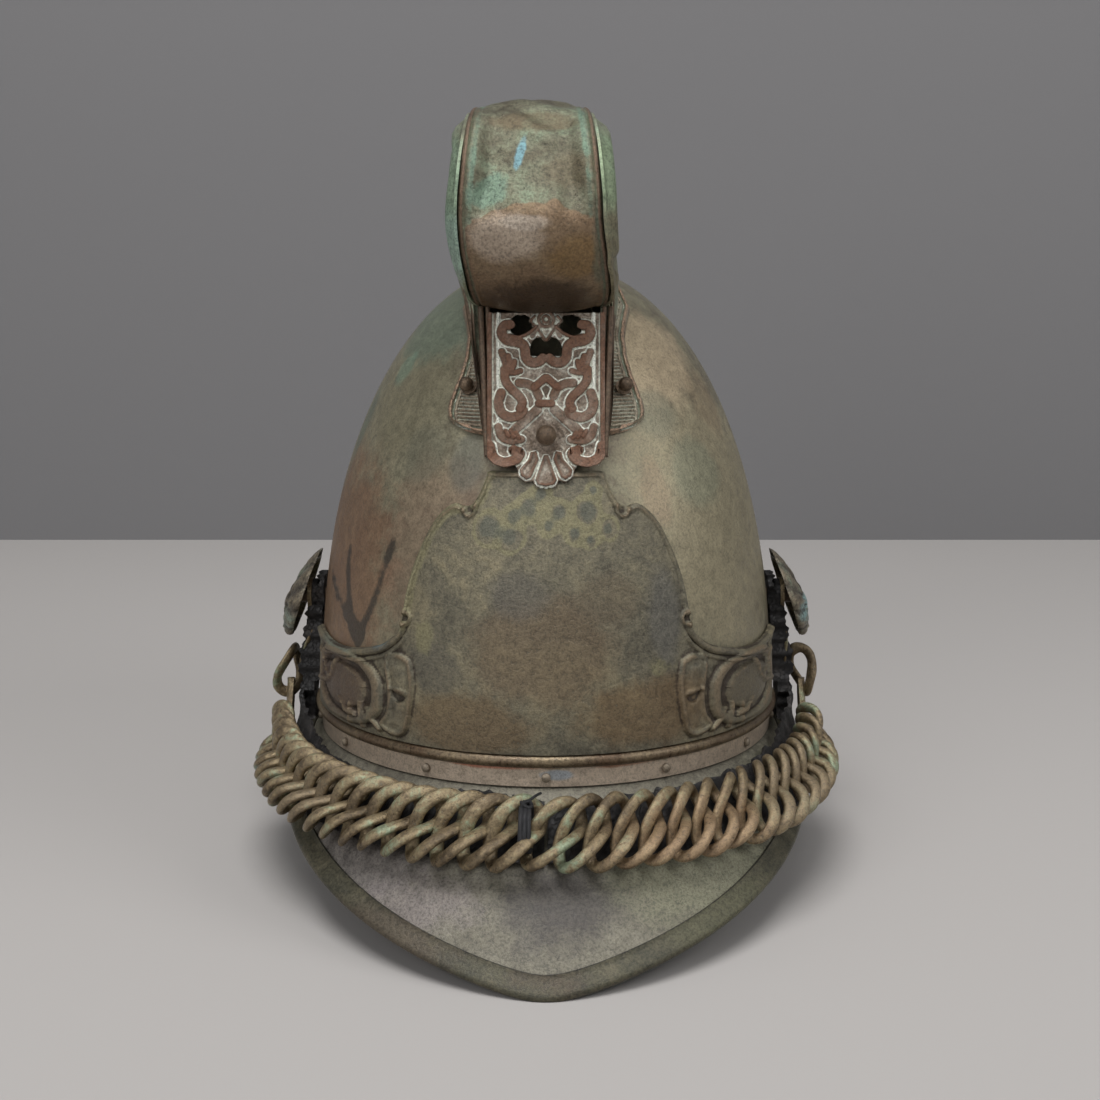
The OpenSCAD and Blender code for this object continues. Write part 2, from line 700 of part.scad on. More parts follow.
path_table = [
    for (i = 0, s = 0; i <= 1 + end_turn / path_step;
        s = s + norm(lie_point((i + 1) * path_step) - lie_point(i * path_step)), i = i + 1)
        [s, i * path_step]
];
function path_phi(s) = sign(s) * lookup(abs(s), path_table);
function path_along(phi) = unit(lie_point(phi + 0.5) - lie_point(phi - 0.5));
function path_width(phi) =
    let (v = rim_normal(phi), g = lie_slope(phi), w = [-cos(g) * v[0], -cos(g) * v[1], sin(g)])
    let (t = path_along(phi))
    unit(w - (w * t) * t);
// A place beside the path: along it, across it towards the skull, and out from the peak
function beside_path(s, across, out, along = 0) =
    let (phi = path_phi(s), t = path_along(phi), w = path_width(phi))
    lie_point(phi) + along * t + across * w + out * cross(t, w);
link_play = 0.25;
link_half_l = pitch / 2 + wire_r + link_play;
link_turns = [for (end = [0, 180]) each [end, end + 22, end + 50, end + 90, end + 130, end + 158]];
wire_sides = 6;
function link_local(turn) =
    let (twist = -link_twist * cos(turn))
    [
        link_half_l * cos(turn),
        link_half_w * sin(turn) * cos(twist),
        link_half_w * sin(turn) * sin(twist)
    ];
function link_ring(turn) =
    let (p = link_local(turn), t = unit(link_local(turn + 2) - link_local(turn - 2)))
    let (u = unit(cross(t, [0, 0, 1])), v = cross(t, u))
    [for (k = [0:wire_sides - 1]) let (a = 360 * k / wire_sides)
        p + wire_r * (cos(a) * u + sin(a) * v)];
module link_at(s) {
    phi = path_phi(s);
    t = path_along(phi);
    w = path_width(phi);
    n = cross(t, w);
    o = lie_point(phi);
    loft([
        for (turn = back_from(link_turns))
            [for (p = link_ring(turn)) o + p[0] * t + p[1] * w + p[2] * n]
    ], closed = true);
}
// As many links as lie between the gap and the legs of the end plates
leg_w = 11;
function link_place(k) = chain_gap / 2 + link_half_l + wire_r + k * pitch;
link_end = link_half_l + wire_r + leg_w;
side_links = 1 + floor((path_table[len(path_table) - 2][0] - link_end - link_place(0)) / pitch);
module chain_links(side) {
    color(side < 0 ? [0.44, 0.42, 0.32] : [0.50, 0.38, 0.24])
    standing() for (k = [0:side_links - 1]) link_at(side * link_place(k));
}
module chain_links_left() chain_links(-1);
module chain_links_right() chain_links(1);

// Leather that the links are sewn to
backing_n = 22;
backing_shift = 2.5;
backing_s = link_place(side_links - 1) + link_end;
function backing_ring(s) =
    let (out = -link_half_t - seat, low = -backing_w / 2 + backing_shift)
    let (high = backing_w / 2 + backing_shift)
    [
        beside_path(s, low, out), beside_path(s, high, out),
        beside_path(s, high, out - backing_t), beside_path(s, low, out - backing_t)
    ];
module chain_leather(side) {
    a = chain_gap * 0.25;
    places = [for (i = [0:backing_n]) a + (backing_s - a) * i / backing_n];
    rings = [for (s = places) backing_ring(side * s)];
    color([0.13, 0.11, 0.10])
    standing() loft(side < 0 ? [for (r = rings) back_from(r)] : rings);
}
module chain_leather_left() chain_leather(-1);
module chain_leather_right() chain_leather(1);

// Thread that ties the two halves together over the gap, round the wire of each end link
tie_n = 16;
tie_sides = 6;
thread_r = 0.8;
tie_l = chain_gap / 2 + 2 * wire_r + thread_r + 2 * seat;
tie_h = (wire_r + thread_r + seat) / cos(link_twist) + (thread_r + slip) * tan(link_twist);
function squared(v) = sign(v) * sqrt(abs(v));
function tie_path(a) = [tie_l * squared(cos(a)), tie_h * squared(sin(a))];
function tie_point(row, a, b) =
    let (p = tie_path(a), t = unit(tie_path(a + 6) - tie_path(a - 6)), r = thread_r * sin(b))
    beside_path(0, row * (thread_r + slip) + thread_r * cos(b), p[1] - r * t[0], p[0] + r * t[1]);
module chain_tie() {
    color([0.10, 0.09, 0.09])
    standing() for (row = [-1, 1]) loft([
        for (i = [0:tie_n - 1])
            [for (k = [0:tie_sides - 1]) tie_point(row, 360 * i / tie_n, 360 * k / tie_sides)]
    ], closed = true);
}

// Rosettes and the studs through the skull's sides
rosette_y = 1.5;
spacer_r = stud_r * 2.2;
stud_wall_x = wall(90, rosette_z)[0];
spacer_x = wall(90, rosette_z - spacer_r)[0] + slip;
end_plate_x = spacer_x + spacer_l + slip;
rosette_x = end_plate_x + end_plate_t + slip;
rosette_h = 9;
rosette_sheet = 1.2;
module along_x(side, x) {
    translate([side * x, rosette_y, rosette_z]) rotate([0, side * 90, 0]) children();
}
module rosette(side) {
    color([0.45, 0.42, 0.31])
    standing() along_x(side, rosette_x) difference() {
        rotate_extrude() dish_2d();
        for (k = [0:petals - 1]) rotate(360 * (k + 0.5) / petals)
            translate([rosette_r * 1.06, 0, -1]) cylinder(r = rosette_r * 0.16, h = rosette_h * 2);
        translate([0, 0, -1]) cylinder(r = stud_r + stud_play, h = rosette_h * 0.7 + 1);
    }
}
// Half section of the rosette's pressed dish, with its button, its hub and its hollow back
module dish_2d() {
    hub_r = stud_r * 1.6;
    polygon([
        [0, 0], [hub_r, 0], [hub_r, rosette_h * 0.8 - rosette_sheet],
        [rosette_r * 0.3, rosette_h * 0.8 - rosette_sheet],
        [rosette_r * 0.55, rosette_h * 0.55 - rosette_sheet],
        [rosette_r * 0.8, rosette_h * 0.3 - rosette_sheet],
        [rosette_r - rosette_sheet, 0.2], [rosette_r, 0.2], [rosette_r * 0.85, rosette_h * 0.3],
        [rosette_r * 0.6, rosette_h * 0.55], [rosette_r * 0.3, rosette_h * 0.8],
        [hub_r, rosette_h * 0.84], [hub_r * 0.95, rosette_h], [hub_r * 0.6, rosette_h * 1.17],
        [0, rosette_h * 1.22]
    ]);
}
module rosette_left() rosette(-1);
module rosette_right() rosette(1);
stud_in = 7;
module rosette_stud(side) {
    color([0.48, 0.40, 0.27])
    standing() along_x(side, stud_wall_x - stud_in)
        cylinder(r = stud_r, h = rosette_x - stud_wall_x + stud_in + rosette_h * 0.65);
}
module rosette_stud_left() rosette_stud(-1);
module rosette_stud_right() rosette_stud(1);
module rosette_spacer(side) {
    color([0.45, 0.38, 0.26])
    standing() along_x(side, spacer_x) difference() {
        cylinder(r = spacer_r, h = spacer_l);
        translate([0, 0, -1]) cylinder(r = stud_r + stud_play, h = spacer_l + 2);
    }
}
module rosette_spacer_left() rosette_spacer(-1);
module rosette_spacer_right() rosette_spacer(1);
nut_t = 2.6;
module rosette_nuts() {
    color([0.50, 0.42, 0.28])
    standing() for (side = [-1, 1])
        along_x(side, stud_wall_x - sheet - 3 * facet_play - nut_t) difference() {
            cylinder(r = stud_r * 1.8, h = nut_t, $fn = 6);
            translate([0, 0, -1]) cylinder(r = stud_r + stud_play, h = nut_t + 2);
        }
}

// End plates: each hangs on its stud behind the rosette, and carries the chain's last link.
// The leg leans out, over the bead and the leather, to the middle of the links.
chain_foot = beside_path(backing_s, 0, 0);
leg_drop = 12;
leg_l = rosette_z + leg_drop;
leg_hole_r = 1.5;
leg_root = 1;
neck_w = leg_w * 0.8;
root_w = neck_w - 4 * slip;
end_eye_r = stud_r * 2.3;
leg_bend_z = rosette_r + 1;
leg_lean = atan2(chain_foot[0] - end_plate_x, rosette_z - leg_bend_z - chain_foot[2]);
module chain_end(side) {
    color([0.47, 0.37, 0.24])
    standing() along_x(side, end_plate_x) rotate([0, 0, side < 0 ? 180 : 0]) {
        difference() {
            union() {
                cylinder(r = end_eye_r, h = end_plate_t);
                translate([0, -neck_w / 2, 0]) cube([leg_bend_z, neck_w, end_plate_t]);
            }
            translate([0, 0, -1]) cylinder(r = stud_r + stud_play, h = end_plate_t + 2);
        }
        // the leg below the bend
        translate([leg_bend_z, 0, 0]) rotate([0, -leg_lean, 0]) linear_extrude(end_plate_t)
            difference() {
                hull() {
                    translate([-leg_root / 3, -root_w / 2]) square([leg_root, root_w]);
                    translate([leg_l * 0.4, 0]) circle(r = leg_w / 2);
                    translate([leg_l - leg_bend_z, 0]) circle(r = leg_w * 0.35);
                }
                translate([leg_l * 0.55, 0]) circle(r = leg_hole_r);
            }
    }
}
module chain_end_left() chain_end(-1);
module chain_end_right() chain_end(1);

// Liner: a headband inside the rim, tongues that rise from it and a lace that draws them in
headband_gap = 0.9;
band_n = 2;
function band_z(k) = headband_h * k / band_n;
module headband() {
    color([0.22, 0.15, 0.10])
    standing() loft([
        for (i = [0:round_n - 1]) let (phi = 360 * i / round_n)
            concat(
                [for (k = [0:band_n]) wall(phi, band_z(k), -sheet - headband_gap)],
                [for (k = [band_n:-1:0]) wall(phi, band_z(k), -sheet - headband_gap - headband_t)]
            )
    ], closed = true);
}
liner_in = sheet + headband_gap + headband_t + seat + facet_play;
tongue_n = 6;
tongue_top = 80;
tongue_start = asin(pow(headband_h * 0.35 / liner_h, fullness / 2));
function liner_point(phi, turn, off = 0) =
    let (r = pow(cos(turn), 2 / fullness), s = pow(sin(turn), 2 / fullness))
    [
        (half_w - liner_in + off) * r * sin(phi),
        -(half_l - liner_in + off) * r * cos(phi),
        (liner_h + off) * s
    ];
module liner_tongues() {
    color([0.28, 0.18, 0.11])
    standing() for (j = [0:tongues - 1]) loft([
        for (i = [0:tongue_n])
            let (turn = tongue_start + (tongue_top - tongue_start) * i / tongue_n)
            let (half = 360 / tongues * 0.42, mid = 360 * (j + 0.5) / tongues)
            concat(
                [for (k = [1:-1:-1]) liner_point(mid + half * k, turn)],
                [for (k = [-1:1]) liner_point(mid + half * k, turn, -tongue_t)]
            )
    ]);
}
lace_r = 1.1;
lace_n = 20;
module liner_lace() {
    color([0.60, 0.52, 0.38])
    standing() loft([
        for (i = [0:lace_n - 1])
            [for (k = [0:5]) let (a = 60 * k)
                liner_point(-360 * i / lace_n, tongue_top - 4 + cos(a),
                    -tongue_t - 3 * facet_play - lace_r * (1 - sin(a)))]
    ], closed = true);
}

skull_shell();
rim_bead();
front_peak();
rear_peak();
front_peak_binding();
rear_peak_binding();
peak_rivets();
comb_crest();
comb_side_left();
comb_side_right();
comb_flange_left();
comb_flange_right();
comb_front_grille();
comb_tail();
comb_screw_front();
comb_screw_left();
comb_screw_right();
comb_screw_rear();
comb_nuts();
front_plate();
chain_links_left();
chain_links_right();
chain_leather_left();
chain_leather_right();
chain_tie();
chain_end_left();
chain_end_right();
rosette_left();
rosette_right();
rosette_stud_left();
rosette_stud_right();
rosette_spacer_left();
rosette_spacer_right();
rosette_nuts();
headband();
liner_tongues();
liner_lace();
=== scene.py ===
import math

import bmesh
import bpy
import numpy as np
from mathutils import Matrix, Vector


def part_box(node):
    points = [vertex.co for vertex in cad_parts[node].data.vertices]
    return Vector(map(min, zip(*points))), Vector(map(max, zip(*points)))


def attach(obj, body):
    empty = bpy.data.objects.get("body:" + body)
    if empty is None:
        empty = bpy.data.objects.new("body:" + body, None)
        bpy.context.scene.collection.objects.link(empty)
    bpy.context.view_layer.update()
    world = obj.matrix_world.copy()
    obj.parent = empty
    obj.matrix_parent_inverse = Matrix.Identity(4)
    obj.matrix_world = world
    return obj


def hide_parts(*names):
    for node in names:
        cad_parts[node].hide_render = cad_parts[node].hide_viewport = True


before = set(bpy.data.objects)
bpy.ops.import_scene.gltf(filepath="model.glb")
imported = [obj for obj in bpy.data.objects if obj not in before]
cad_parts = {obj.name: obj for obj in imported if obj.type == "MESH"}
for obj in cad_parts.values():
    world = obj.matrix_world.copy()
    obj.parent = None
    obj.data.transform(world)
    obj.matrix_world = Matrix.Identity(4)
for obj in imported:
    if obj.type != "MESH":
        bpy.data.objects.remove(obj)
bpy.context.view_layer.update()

# Skull: one bowl of sheet brass, pressed and planished, with a plain skirt below its rim.
# Lengths are millimetres in the rim's own frame, with X across, -Y forward and Z up, and
# stand() leans them back into the room, in metres.
HALF_W = 90.0
HALF_L = 107.0
CROWN = 172.0
FULL = 2.15
SHEET = 1.0
SKIRT = 9.0
VENT_R = 10.0
RIM_Z = 53.0
LEAN = math.radians(4.5)
STUD_Y = 1.5
STUD_Z = 39.0
stud_box = np.mean(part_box("rosette_stud_left"), axis=0) * 1000
HEAD_Y = stud_box[1] - math.cos(LEAN) * STUD_Y - math.sin(LEAN) * STUD_Z


def stand(p):
    x, y, z = np.moveaxis(np.asarray(p, float), -1, 0)
    back = math.cos(LEAN) * y + math.sin(LEAN) * z + HEAD_Y
    up = math.cos(LEAN) * z - math.sin(LEAN) * y + RIM_Z
    return xyz(x, back, up) / 1000


def xyz(x, y, z):
    return np.stack(np.broadcast_arrays(x, y, z), -1)


def share_at(z, off=0.0):
    part = np.clip(np.asarray(z, float) / (CROWN + off), 0, 1)
    return np.power(1 - np.power(part, FULL), 1 / FULL)


def wall(phi, z, off=0.0):
    a = np.radians(phi)
    r = share_at(z, off)
    x = (HALF_W + off) * r * np.sin(a)
    y = -(HALF_L + off) * r * np.cos(a)
    return xyz(x, y, z)


def rim(phi, out, z):
    a = np.radians(phi)
    n = np.stack([np.sin(a) / HALF_W, -np.cos(a) / HALF_L], -1)
    n = n / np.linalg.norm(n, axis=-1, keepdims=True)
    x = HALF_W * np.sin(a) + out * n[..., 0]
    y = -HALF_L * np.cos(a) + out * n[..., 1]
    return xyz(x, y, z)


def unit(v):
    return v / np.linalg.norm(v, axis=-1, keepdims=True)


def ease(x):
    t = np.clip(x, 0, 1)
    return t * t * (3 - 2 * t)


def hump(value, middle, width):
    return np.exp(-((value - middle) / width) ** 2)


def full_turn(count):
    return np.radians(np.linspace(0, 360, count, endpoint=False))


def body_of(name, points, faces, sharp=38, **marks):
    mesh = bpy.data.meshes.new(name)
    mesh.from_pydata(points.reshape(-1, 3).tolist(), [], faces)
    for mark, values in marks.items():
        layer = mesh.attributes.new(mark, "FLOAT", "POINT")
        layer.data.foreach_set("value", np.asarray(values, np.float32).ravel())
    bm = bmesh.new()
    bm.from_mesh(mesh)
    bmesh.ops.recalc_face_normals(bm, faces=bm.faces)
    bm.to_mesh(mesh)
    bm.free()
    mesh.shade_smooth()
    mesh.set_sharp_from_angle(angle=math.radians(sharp))
    ob = bpy.data.objects.new(name, mesh)
    bpy.context.scene.collection.objects.link(ob)
    return ob


def loft_faces(m, n, closed, start=0):
    grid = np.arange(m * n).reshape(m, n) + start
    low = grid if closed else grid[:-1]
    high = np.roll(grid, -1, 0) if closed else grid[1:]
    quads = np.stack([low, np.roll(low, -1, 1), np.roll(high, -1, 1), high], -1)
    faces = quads.reshape(-1, 4).tolist()
    for row in [] if closed else (grid[0], grid[-1]):
        faces += [[row[k], row[k + 1], row[n - 2 - k], row[n - 1 - k]] for k in range(n // 2 - 1)]
    return faces


def loft(name, rings, closed=False, sharp=38, **marks):
    rings = np.asarray(rings, float)
    m, n = rings.shape[:2]
    return body_of(name, stand(rings), loft_faces(m, n, closed), sharp, **marks)


def sheet_rings(outer, inner):
    return np.concatenate([outer, inner[:, ::-1]], axis=1)


def both(mark):
    return np.concatenate([mark, mark[:, ::-1]], axis=1)


def fit(ob, body, slot, finish, *nodes):
    ob.data.materials.append(finish)
    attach(ob, body)
    if nodes:
        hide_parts(*nodes)
    return ob


def tone(r, g, b):
    return tuple(((c / 255 + 0.055) / 1.055) ** 2.4 for c in (r, g, b)) + (1.0,)


def add(tree, kind, inputs, **settings):
    n = tree.nodes.new("ShaderNode" + kind)
    for key, value in settings.items():
        setattr(n, key, value)
    for key, value in inputs.items():
        if isinstance(value, bpy.types.NodeSocket):
            tree.links.new(value, n.inputs[key])
        else:
            n.inputs[key].default_value = value
    return n


def sums(tree, operation, a, b=0.0, c=0.0):
    return add(tree, "Math", {0: a, 1: b, 2: c}, operation=operation).outputs[0]


def noise(tree, where, scale, detail=5.0, rough=0.6, warp=0.0):
    inputs = {"Vector": where, "Scale": scale, "Detail": detail, "Roughness": rough, "Distortion": warp}
    return add(tree, "TexNoise", inputs).outputs["Fac"]


def between(tree, value, low, high):
    inputs = {"Value": value, "From Min": low, "From Max": high}
    return add(tree, "MapRange", inputs, interpolation_type="SMOOTHSTEP").outputs["Result"]


def blend(tree, share, a, b):
    inputs = {0: share, 6: a, 7: b}
    return add(tree, "Mix", inputs, data_type="RGBA").outputs[2]


def remap(tree, value, low, high, to_low, to_high):
    inputs = {"Value": value, "From Min": low, "From Max": high, "To Min": to_low, "To Max": to_high}
    return add(tree, "MapRange", inputs).outputs["Result"]


def shaken(tree, field, amount, base):
    return sums(tree, "MULTIPLY_ADD", sums(tree, "SUBTRACT", field, 0.5), amount, base)


def mask_of(tree, value, low, high, strength):
    return sums(tree, "MULTIPLY", between(tree, value, low, high), strength)


def shades(tree, value, low, high, tones):
    ramp = add(tree, "ValToRGB", {"Fac": value})
    elements = ramp.color_ramp.elements
    while len(elements) < len(tones):
        elements.new(0.5)
    for element, place, colour in zip(elements, np.linspace(low, high, len(tones)), tones):
        element.position = place
        element.color = tone(*colour)
    return ramp.outputs["Color"]


def blank(name):
    finish = bpy.data.materials.new(name)
    finish.use_nodes = True
    finish.node_tree.nodes.clear()
    return finish, finish.node_tree


def close(tree, inputs):
    skin = add(tree, "BsdfPrincipled", inputs)
    add(tree, "OutputMaterial", {"Surface": skin.outputs[0]})


# A zone is a stain, a worn patch, a painted highlight or a painted shade: its middle and half sizes in
# metres, a colour and a strength.
def zone_mask(tree, where, ragged, middle, sizes, strength):
    shrink = [1 / s for s in sizes]
    offset = [-m / s for m, s in zip(middle, sizes)]
    moved = add(tree, "VectorMath", {0: where, 1: shrink, 2: offset}, operation="MULTIPLY_ADD")
    far = add(tree, "VectorMath", {0: moved.outputs[0]}, operation="LENGTH").outputs["Value"]
    return mask_of(tree, sums(tree, "MULTIPLY_ADD", ragged, 1.1, far), 1.65, 1.15, strength)


def marked(tree, ragged, mark, stain, strength, colour):
    mask = add(tree, "Attribute", {}, attribute_name=mark).outputs["Fac"]
    mask = mask_of(tree, shaken(tree, ragged, 1.3, mask), 0.35, 0.62, strength)
    return blend(tree, mask, colour, tone(*stain))


RAGGED_PER_M = 75
PITS_PER_M = 1050
PIT_DIRT = (46, 42, 34)
PIT_LIME = (158, 158, 142)


def patina(name, tones, blotch=26.0, zones=(), under=(), coats=(), rubbed=None, dirt_and_shade=None, metal=0.35,
           rough=0.5, bump=0.25, specks=0.5, flow=(1, 1, 1), lift=1.2, grain=0.25):
    finish, tree = blank(name)
    where = add(tree, "TexCoord", {}).outputs["Object"]
    drawn = add(tree, "VectorMath", {0: where, 1: flow}, operation="MULTIPLY").outputs[0]
    wide = noise(tree, drawn, blotch, detail=7, rough=0.62, warp=0.5)
    fine = noise(tree, where, blotch * 9, detail=8, rough=0.72)
    colour = shades(tree, shaken(tree, fine, 0.45, wide), 0.34, 0.66, tones)
    ragged = noise(tree, where, RAGGED_PER_M, detail=8, rough=0.74)
    for mark, stain, strength in under:
        colour = marked(tree, ragged, mark, stain, strength, colour)
    for middle, sizes, stain, strength in zones:
        colour = blend(tree, zone_mask(tree, where, ragged, middle, sizes, strength), colour, tone(*stain))
    for mark, stain, strength in coats:
        colour = marked(tree, ragged, mark, stain, strength, colour)
    if dirt_and_shade or rubbed:
        relief = add(tree, "Attribute", {}, attribute_name="relief").outputs["Fac"]
        relief = shaken(tree, fine, 0.6, relief)
    # Where the relief mark is low this colour is laid: grime and deposit in recesses, and on the bindings
    # and the front plate painted shade too.
    if dirt_and_shade:
        colour = blend(tree, mask_of(tree, relief, 0.42, 0.2, 0.85), colour, tone(*dirt_and_shade))
    if rubbed:
        colour = blend(tree, mask_of(tree, relief, 0.58, 0.85, 0.8), colour, tone(*rubbed))
    pits = noise(tree, where, PITS_PER_M, detail=4, rough=0.75)
    colour = blend(tree, mask_of(tree, pits, 0.56, 0.70, specks), colour, tone(*PIT_DIRT))
    colour = blend(tree, mask_of(tree, pits, 0.40, 0.28, specks * 0.6), colour, tone(*PIT_LIME))
    crumbs = shaken(tree, fine, 0.4, pits)
    shade = remap(tree, crumbs, 0.34, 0.66, lift * (1 - 2 * grain), lift * (1 + 2 * grain))
    colour = add(tree, "VectorMath", {0: colour, "Scale": shade}, operation="SCALE").outputs[0]
    dull = remap(tree, fine, 0.3, 0.7, rough - 0.12, rough + 0.14)
    height = sums(tree, "MULTIPLY_ADD", pits, 0.6, fine)
    bumps = add(tree, "Bump", {"Height": height, "Strength": bump, "Distance": 0.0007}).outputs["Normal"]
    close(tree, {"Base Color": colour, "Metallic": metal, "Roughness": dull, "Normal": bumps})
    return finish


def to_line(x, y, line):
    best = np.full(x.shape, 1e9)
    for (ax, ay), (bx, by) in zip(line[:-1], line[1:]):
        ex, ey = bx - ax, by - ay
        t = np.clip(((x - ax) * ex + (y - ay) * ey) / max(ex * ex + ey * ey, 1e-9), 0, 1)
        best = np.minimum(best, np.hypot(x - ax - t * ex, y - ay - t * ey))
    return best


def ridge(gap, width, high):
    return high * np.clip(1 - (gap / width) ** 2, 0, 1) ** 0.8


def mm_from_front(phi):
    steps = np.radians(np.linspace(0, 180, 361))
    run = np.hypot(HALF_W * np.cos(steps), HALF_L * np.sin(steps))
    length = np.concatenate([[0], np.cumsum((run[1:] + run[:-1]) / 2 * np.diff(steps))])
    return np.sign(phi) * np.interp(np.abs(phi), np.degrees(steps), length)


def on_skull(phi, z, off=0.0):
    return tuple(stand(wall(phi, z, off)))


def patch(phi, z, wide, high, colour, strength=0.8):
    return (on_skull(phi, z), (wide / 1000, wide / 1000, high / 1000), colour, strength)


def floor_spot(x, y, z, sizes, colour, strength=0.8):
    return ((x / 1000, y / 1000, z / 1000), tuple(s / 1000 for s in sizes), colour, strength)


skull_zones = [
    patch(-68, 56, 52, 52, (110, 80, 60), 0.7), patch(-30, 74, 24, 40, (112, 90, 74), 0.5),
    patch(-48, 124, 30, 26, (104, 99, 80), 0.75), patch(-55, 150, 36, 18, (90, 100, 86), 0.8),
    patch(-76, 112, 8, 30, (80, 92, 82), 0.5), patch(-60, 132, 7, 9, (96, 122, 106), 0.45),
    patch(-36, 104, 12, 12, (92, 90, 76), 0.6), patch(-22, 102, 8, 16, (84, 84, 76), 0.6),
    # The pale patch at 40 degrees and 138 mm is a painted highlight on the upper right of the dome.
    patch(55, 80, 55, 60, (128, 120, 98), 0.8), patch(40, 138, 30, 22, (152, 137, 113), 0.8),
    patch(30, 92, 7, 26, (122, 100, 82), 0.3), patch(35, 118, 12, 10, (108, 106, 90), 0.6),
    floor_spot(-24, -104, 59.5, (26, 14, 1.7), (150, 96, 76), 0.8),
    floor_spot(30, -100, 59.0, (16, 14, 1.2), (140, 96, 76), 0.6),
    floor_spot(4, -105, 56.5, (7, 8, 1.9), (140, 152, 162), 0.7),
    patch(62, 120, 14, 16, (122, 104, 82), 0.4), patch(46, 96, 16, 14, (110, 112, 94), 0.6),
]
brass_skull = patina("aged brass skull", [(82, 74, 62), (98, 92, 76), (108, 104, 86), (120, 114, 94)],
                     zones=skull_zones, under=[("skirt", (170, 155, 138), 0.95)],
                     coats=[("stain", (46, 44, 40), 0.8)], flow=(1, 1, 0.6), metal=0.48,
                     rough=0.4, bump=0.34, specks=0.55, lift=1.5, grain=0.16)
turns = np.linspace(0, 360, 360, endpoint=False)
rise = np.linspace(0, math.acos((VENT_R / HALF_W) ** (FULL / 2)), 96)
heights = np.concatenate([[-SKIRT, -SKIRT * 0.5], CROWN * np.sin(rise) ** (2 / FULL)])
dents = [(-62, 78, 9, 0.8), (-38, 60, 7, 0.5), (30, 96, 6, 0.7), (62, 60, 10, 0.6), (-20, 118, 6, 0.5)]
phi_grid, z_grid = np.meshgrid(turns, heights, indexing="ij")
sunk = 0.12 * np.sin(np.radians(phi_grid * 5)) * np.sin(z_grid / 17) - 0.12
for phi, z, reach, deep in dents:
    gap = np.hypot((phi_grid - phi % 360) * 1.7, z_grid - z)
    sunk -= deep * hump(gap, 0, reach * 1.7)
in_skirt = z_grid[..., None] < 0
outer = np.where(in_skirt, rim(phi_grid, 0, z_grid), wall(phi_grid, z_grid, sunk * (z_grid > 4)))
inner_z = z_grid * (CROWN - SHEET) / CROWN
inner = np.where(in_skirt, rim(phi_grid, -SHEET, z_grid), wall(phi_grid, inner_z, -SHEET))
round_mm = mm_from_front((phi_grid + 180) % 360 - 180)
streaks = [
    [(-121, 54), (-112, 49.5), (-101, 44.7), (-92, 40), (-84.5, 35.3)],
    [(-67.5, 72), (-70, 63.5), (-73.3, 54.5), (-77.2, 46), (-82.3, 36.4)],
    [(-101, 66), (-97, 54), (-91, 43), (-85, 37)]
]
stain = sum(0.66 * hump(to_line(round_mm, z_grid, line), 0, 3.4) for line in streaks)
skirt = both(1.0 * (z_grid < -1))
skull = loft("skull", sheet_rings(outer, inner), closed=True, stain=both(stain), skirt=skirt)
fit(skull, "helmet", "skull_brass", brass_skull, "skull_shell")

# Rim bead: half-round brass wire, soldered round the skull where the plain skirt begins.
# Hands and cloths have rubbed it browner and redder than the sheet.
BEAD_R = 2.2
bead_tones = [(84, 66, 50), (98, 84, 66), (116, 102, 80)]
brass_bead = patina("rubbed brass bead", bead_tones, blotch=50, metal=0.5, rough=0.34, bump=0.3)
bow = np.radians(np.linspace(-90, 90, 11))
bead_out = np.concatenate([0.1 + BEAD_R * np.cos(bow), [0.1]])
bead_up = np.concatenate([BEAD_R * np.sin(bow), [0.0]])
bead = loft("rim_bead_wire", rim(turns[:, None], bead_out, bead_up), closed=True)
fit(bead, "helmet", "trim_brass", brass_bead, "rim_bead")

# Peaks: brims of sheet brass with a flange that is riveted inside the skirt. The front one
# slopes to a blunt point and the rear one carries the helmet on its edge.
PEAK_T = 1.0
ROOT_Z = -SKIRT - 0.1
FLANGE_D = -SHEET - 0.5
FRONT_REACH = 51.0
FRONT_SWEEP = 87.0
REAR_REACH = 56.0
REAR_FOOT = 30.0
REAR_SWEEP = 91.0
LEDGE = 3.0
SIDE_Z = 42.5
NOSE = 2.0


def level_z(y, ground_z):
    return (ground_z - RIM_Z + math.sin(LEAN) * y) / math.cos(LEAN)


def front_share(phi):
    return 1 - (np.sqrt(phi * phi + 9) - 3) / FRONT_SWEEP


def front_edge(phi):
    side_z = level_z(0, SIDE_Z)
    tip_z = level_z(-HALF_L - FRONT_REACH, NOSE - 0.5)
    part = front_share(phi)
    return LEDGE + (FRONT_REACH - LEDGE) * part, side_z + (tip_z - side_z) * part


def rear_edge(phi):
    turn = np.abs(180 - phi)
    out = LEDGE + (REAR_REACH - LEDGE) * np.clip(1 - (turn / REAR_SWEEP) ** 2, 0, 1) ** 1.25
    lift = np.clip((turn - REAR_FOOT) / (REAR_SWEEP - REAR_FOOT), 0, 1) ** 1.6
    return out, level_z(rim(180 - turn, out, 0)[..., 1], NOSE - 0.5 + (SIDE_Z - NOSE) * lift)


def peak_rings(phi, edge, camber):
    out, low = edge(phi)
    fall = ROOT_Z - low
    slope = np.hypot(out, fall)
    across = np.linspace(0, 1, 22)
    bulge = camber * np.sin(np.pi * across) ** 2
    down_out = out[:, None] * across + bulge * (fall / slope)[:, None]
    down_z = ROOT_Z - fall[:, None] * across + bulge * (out / slope)[:, None]
    thick_out = (fall / slope * PEAK_T)[:, None]
    thick_z = (out / slope * PEAK_T)[:, None]
    phis = phi[:, None]
    top = rim(phis, down_out, down_z)
    under = rim(phis, down_out - thick_out, down_z - thick_z)
    flange_z = -SKIRT * 0.3
    bends = ((0, flange_z), (0, ROOT_Z), (PEAK_T, ROOT_Z - PEAK_T), (PEAK_T, flange_z))
    flange = [rim(phis, FLANGE_D - inward, z + 0 * phis) for inward, z in bends]
    return np.concatenate(flange[:2] + [top[:, 1:], under[:, :0:-1]] + flange[2:], axis=1)


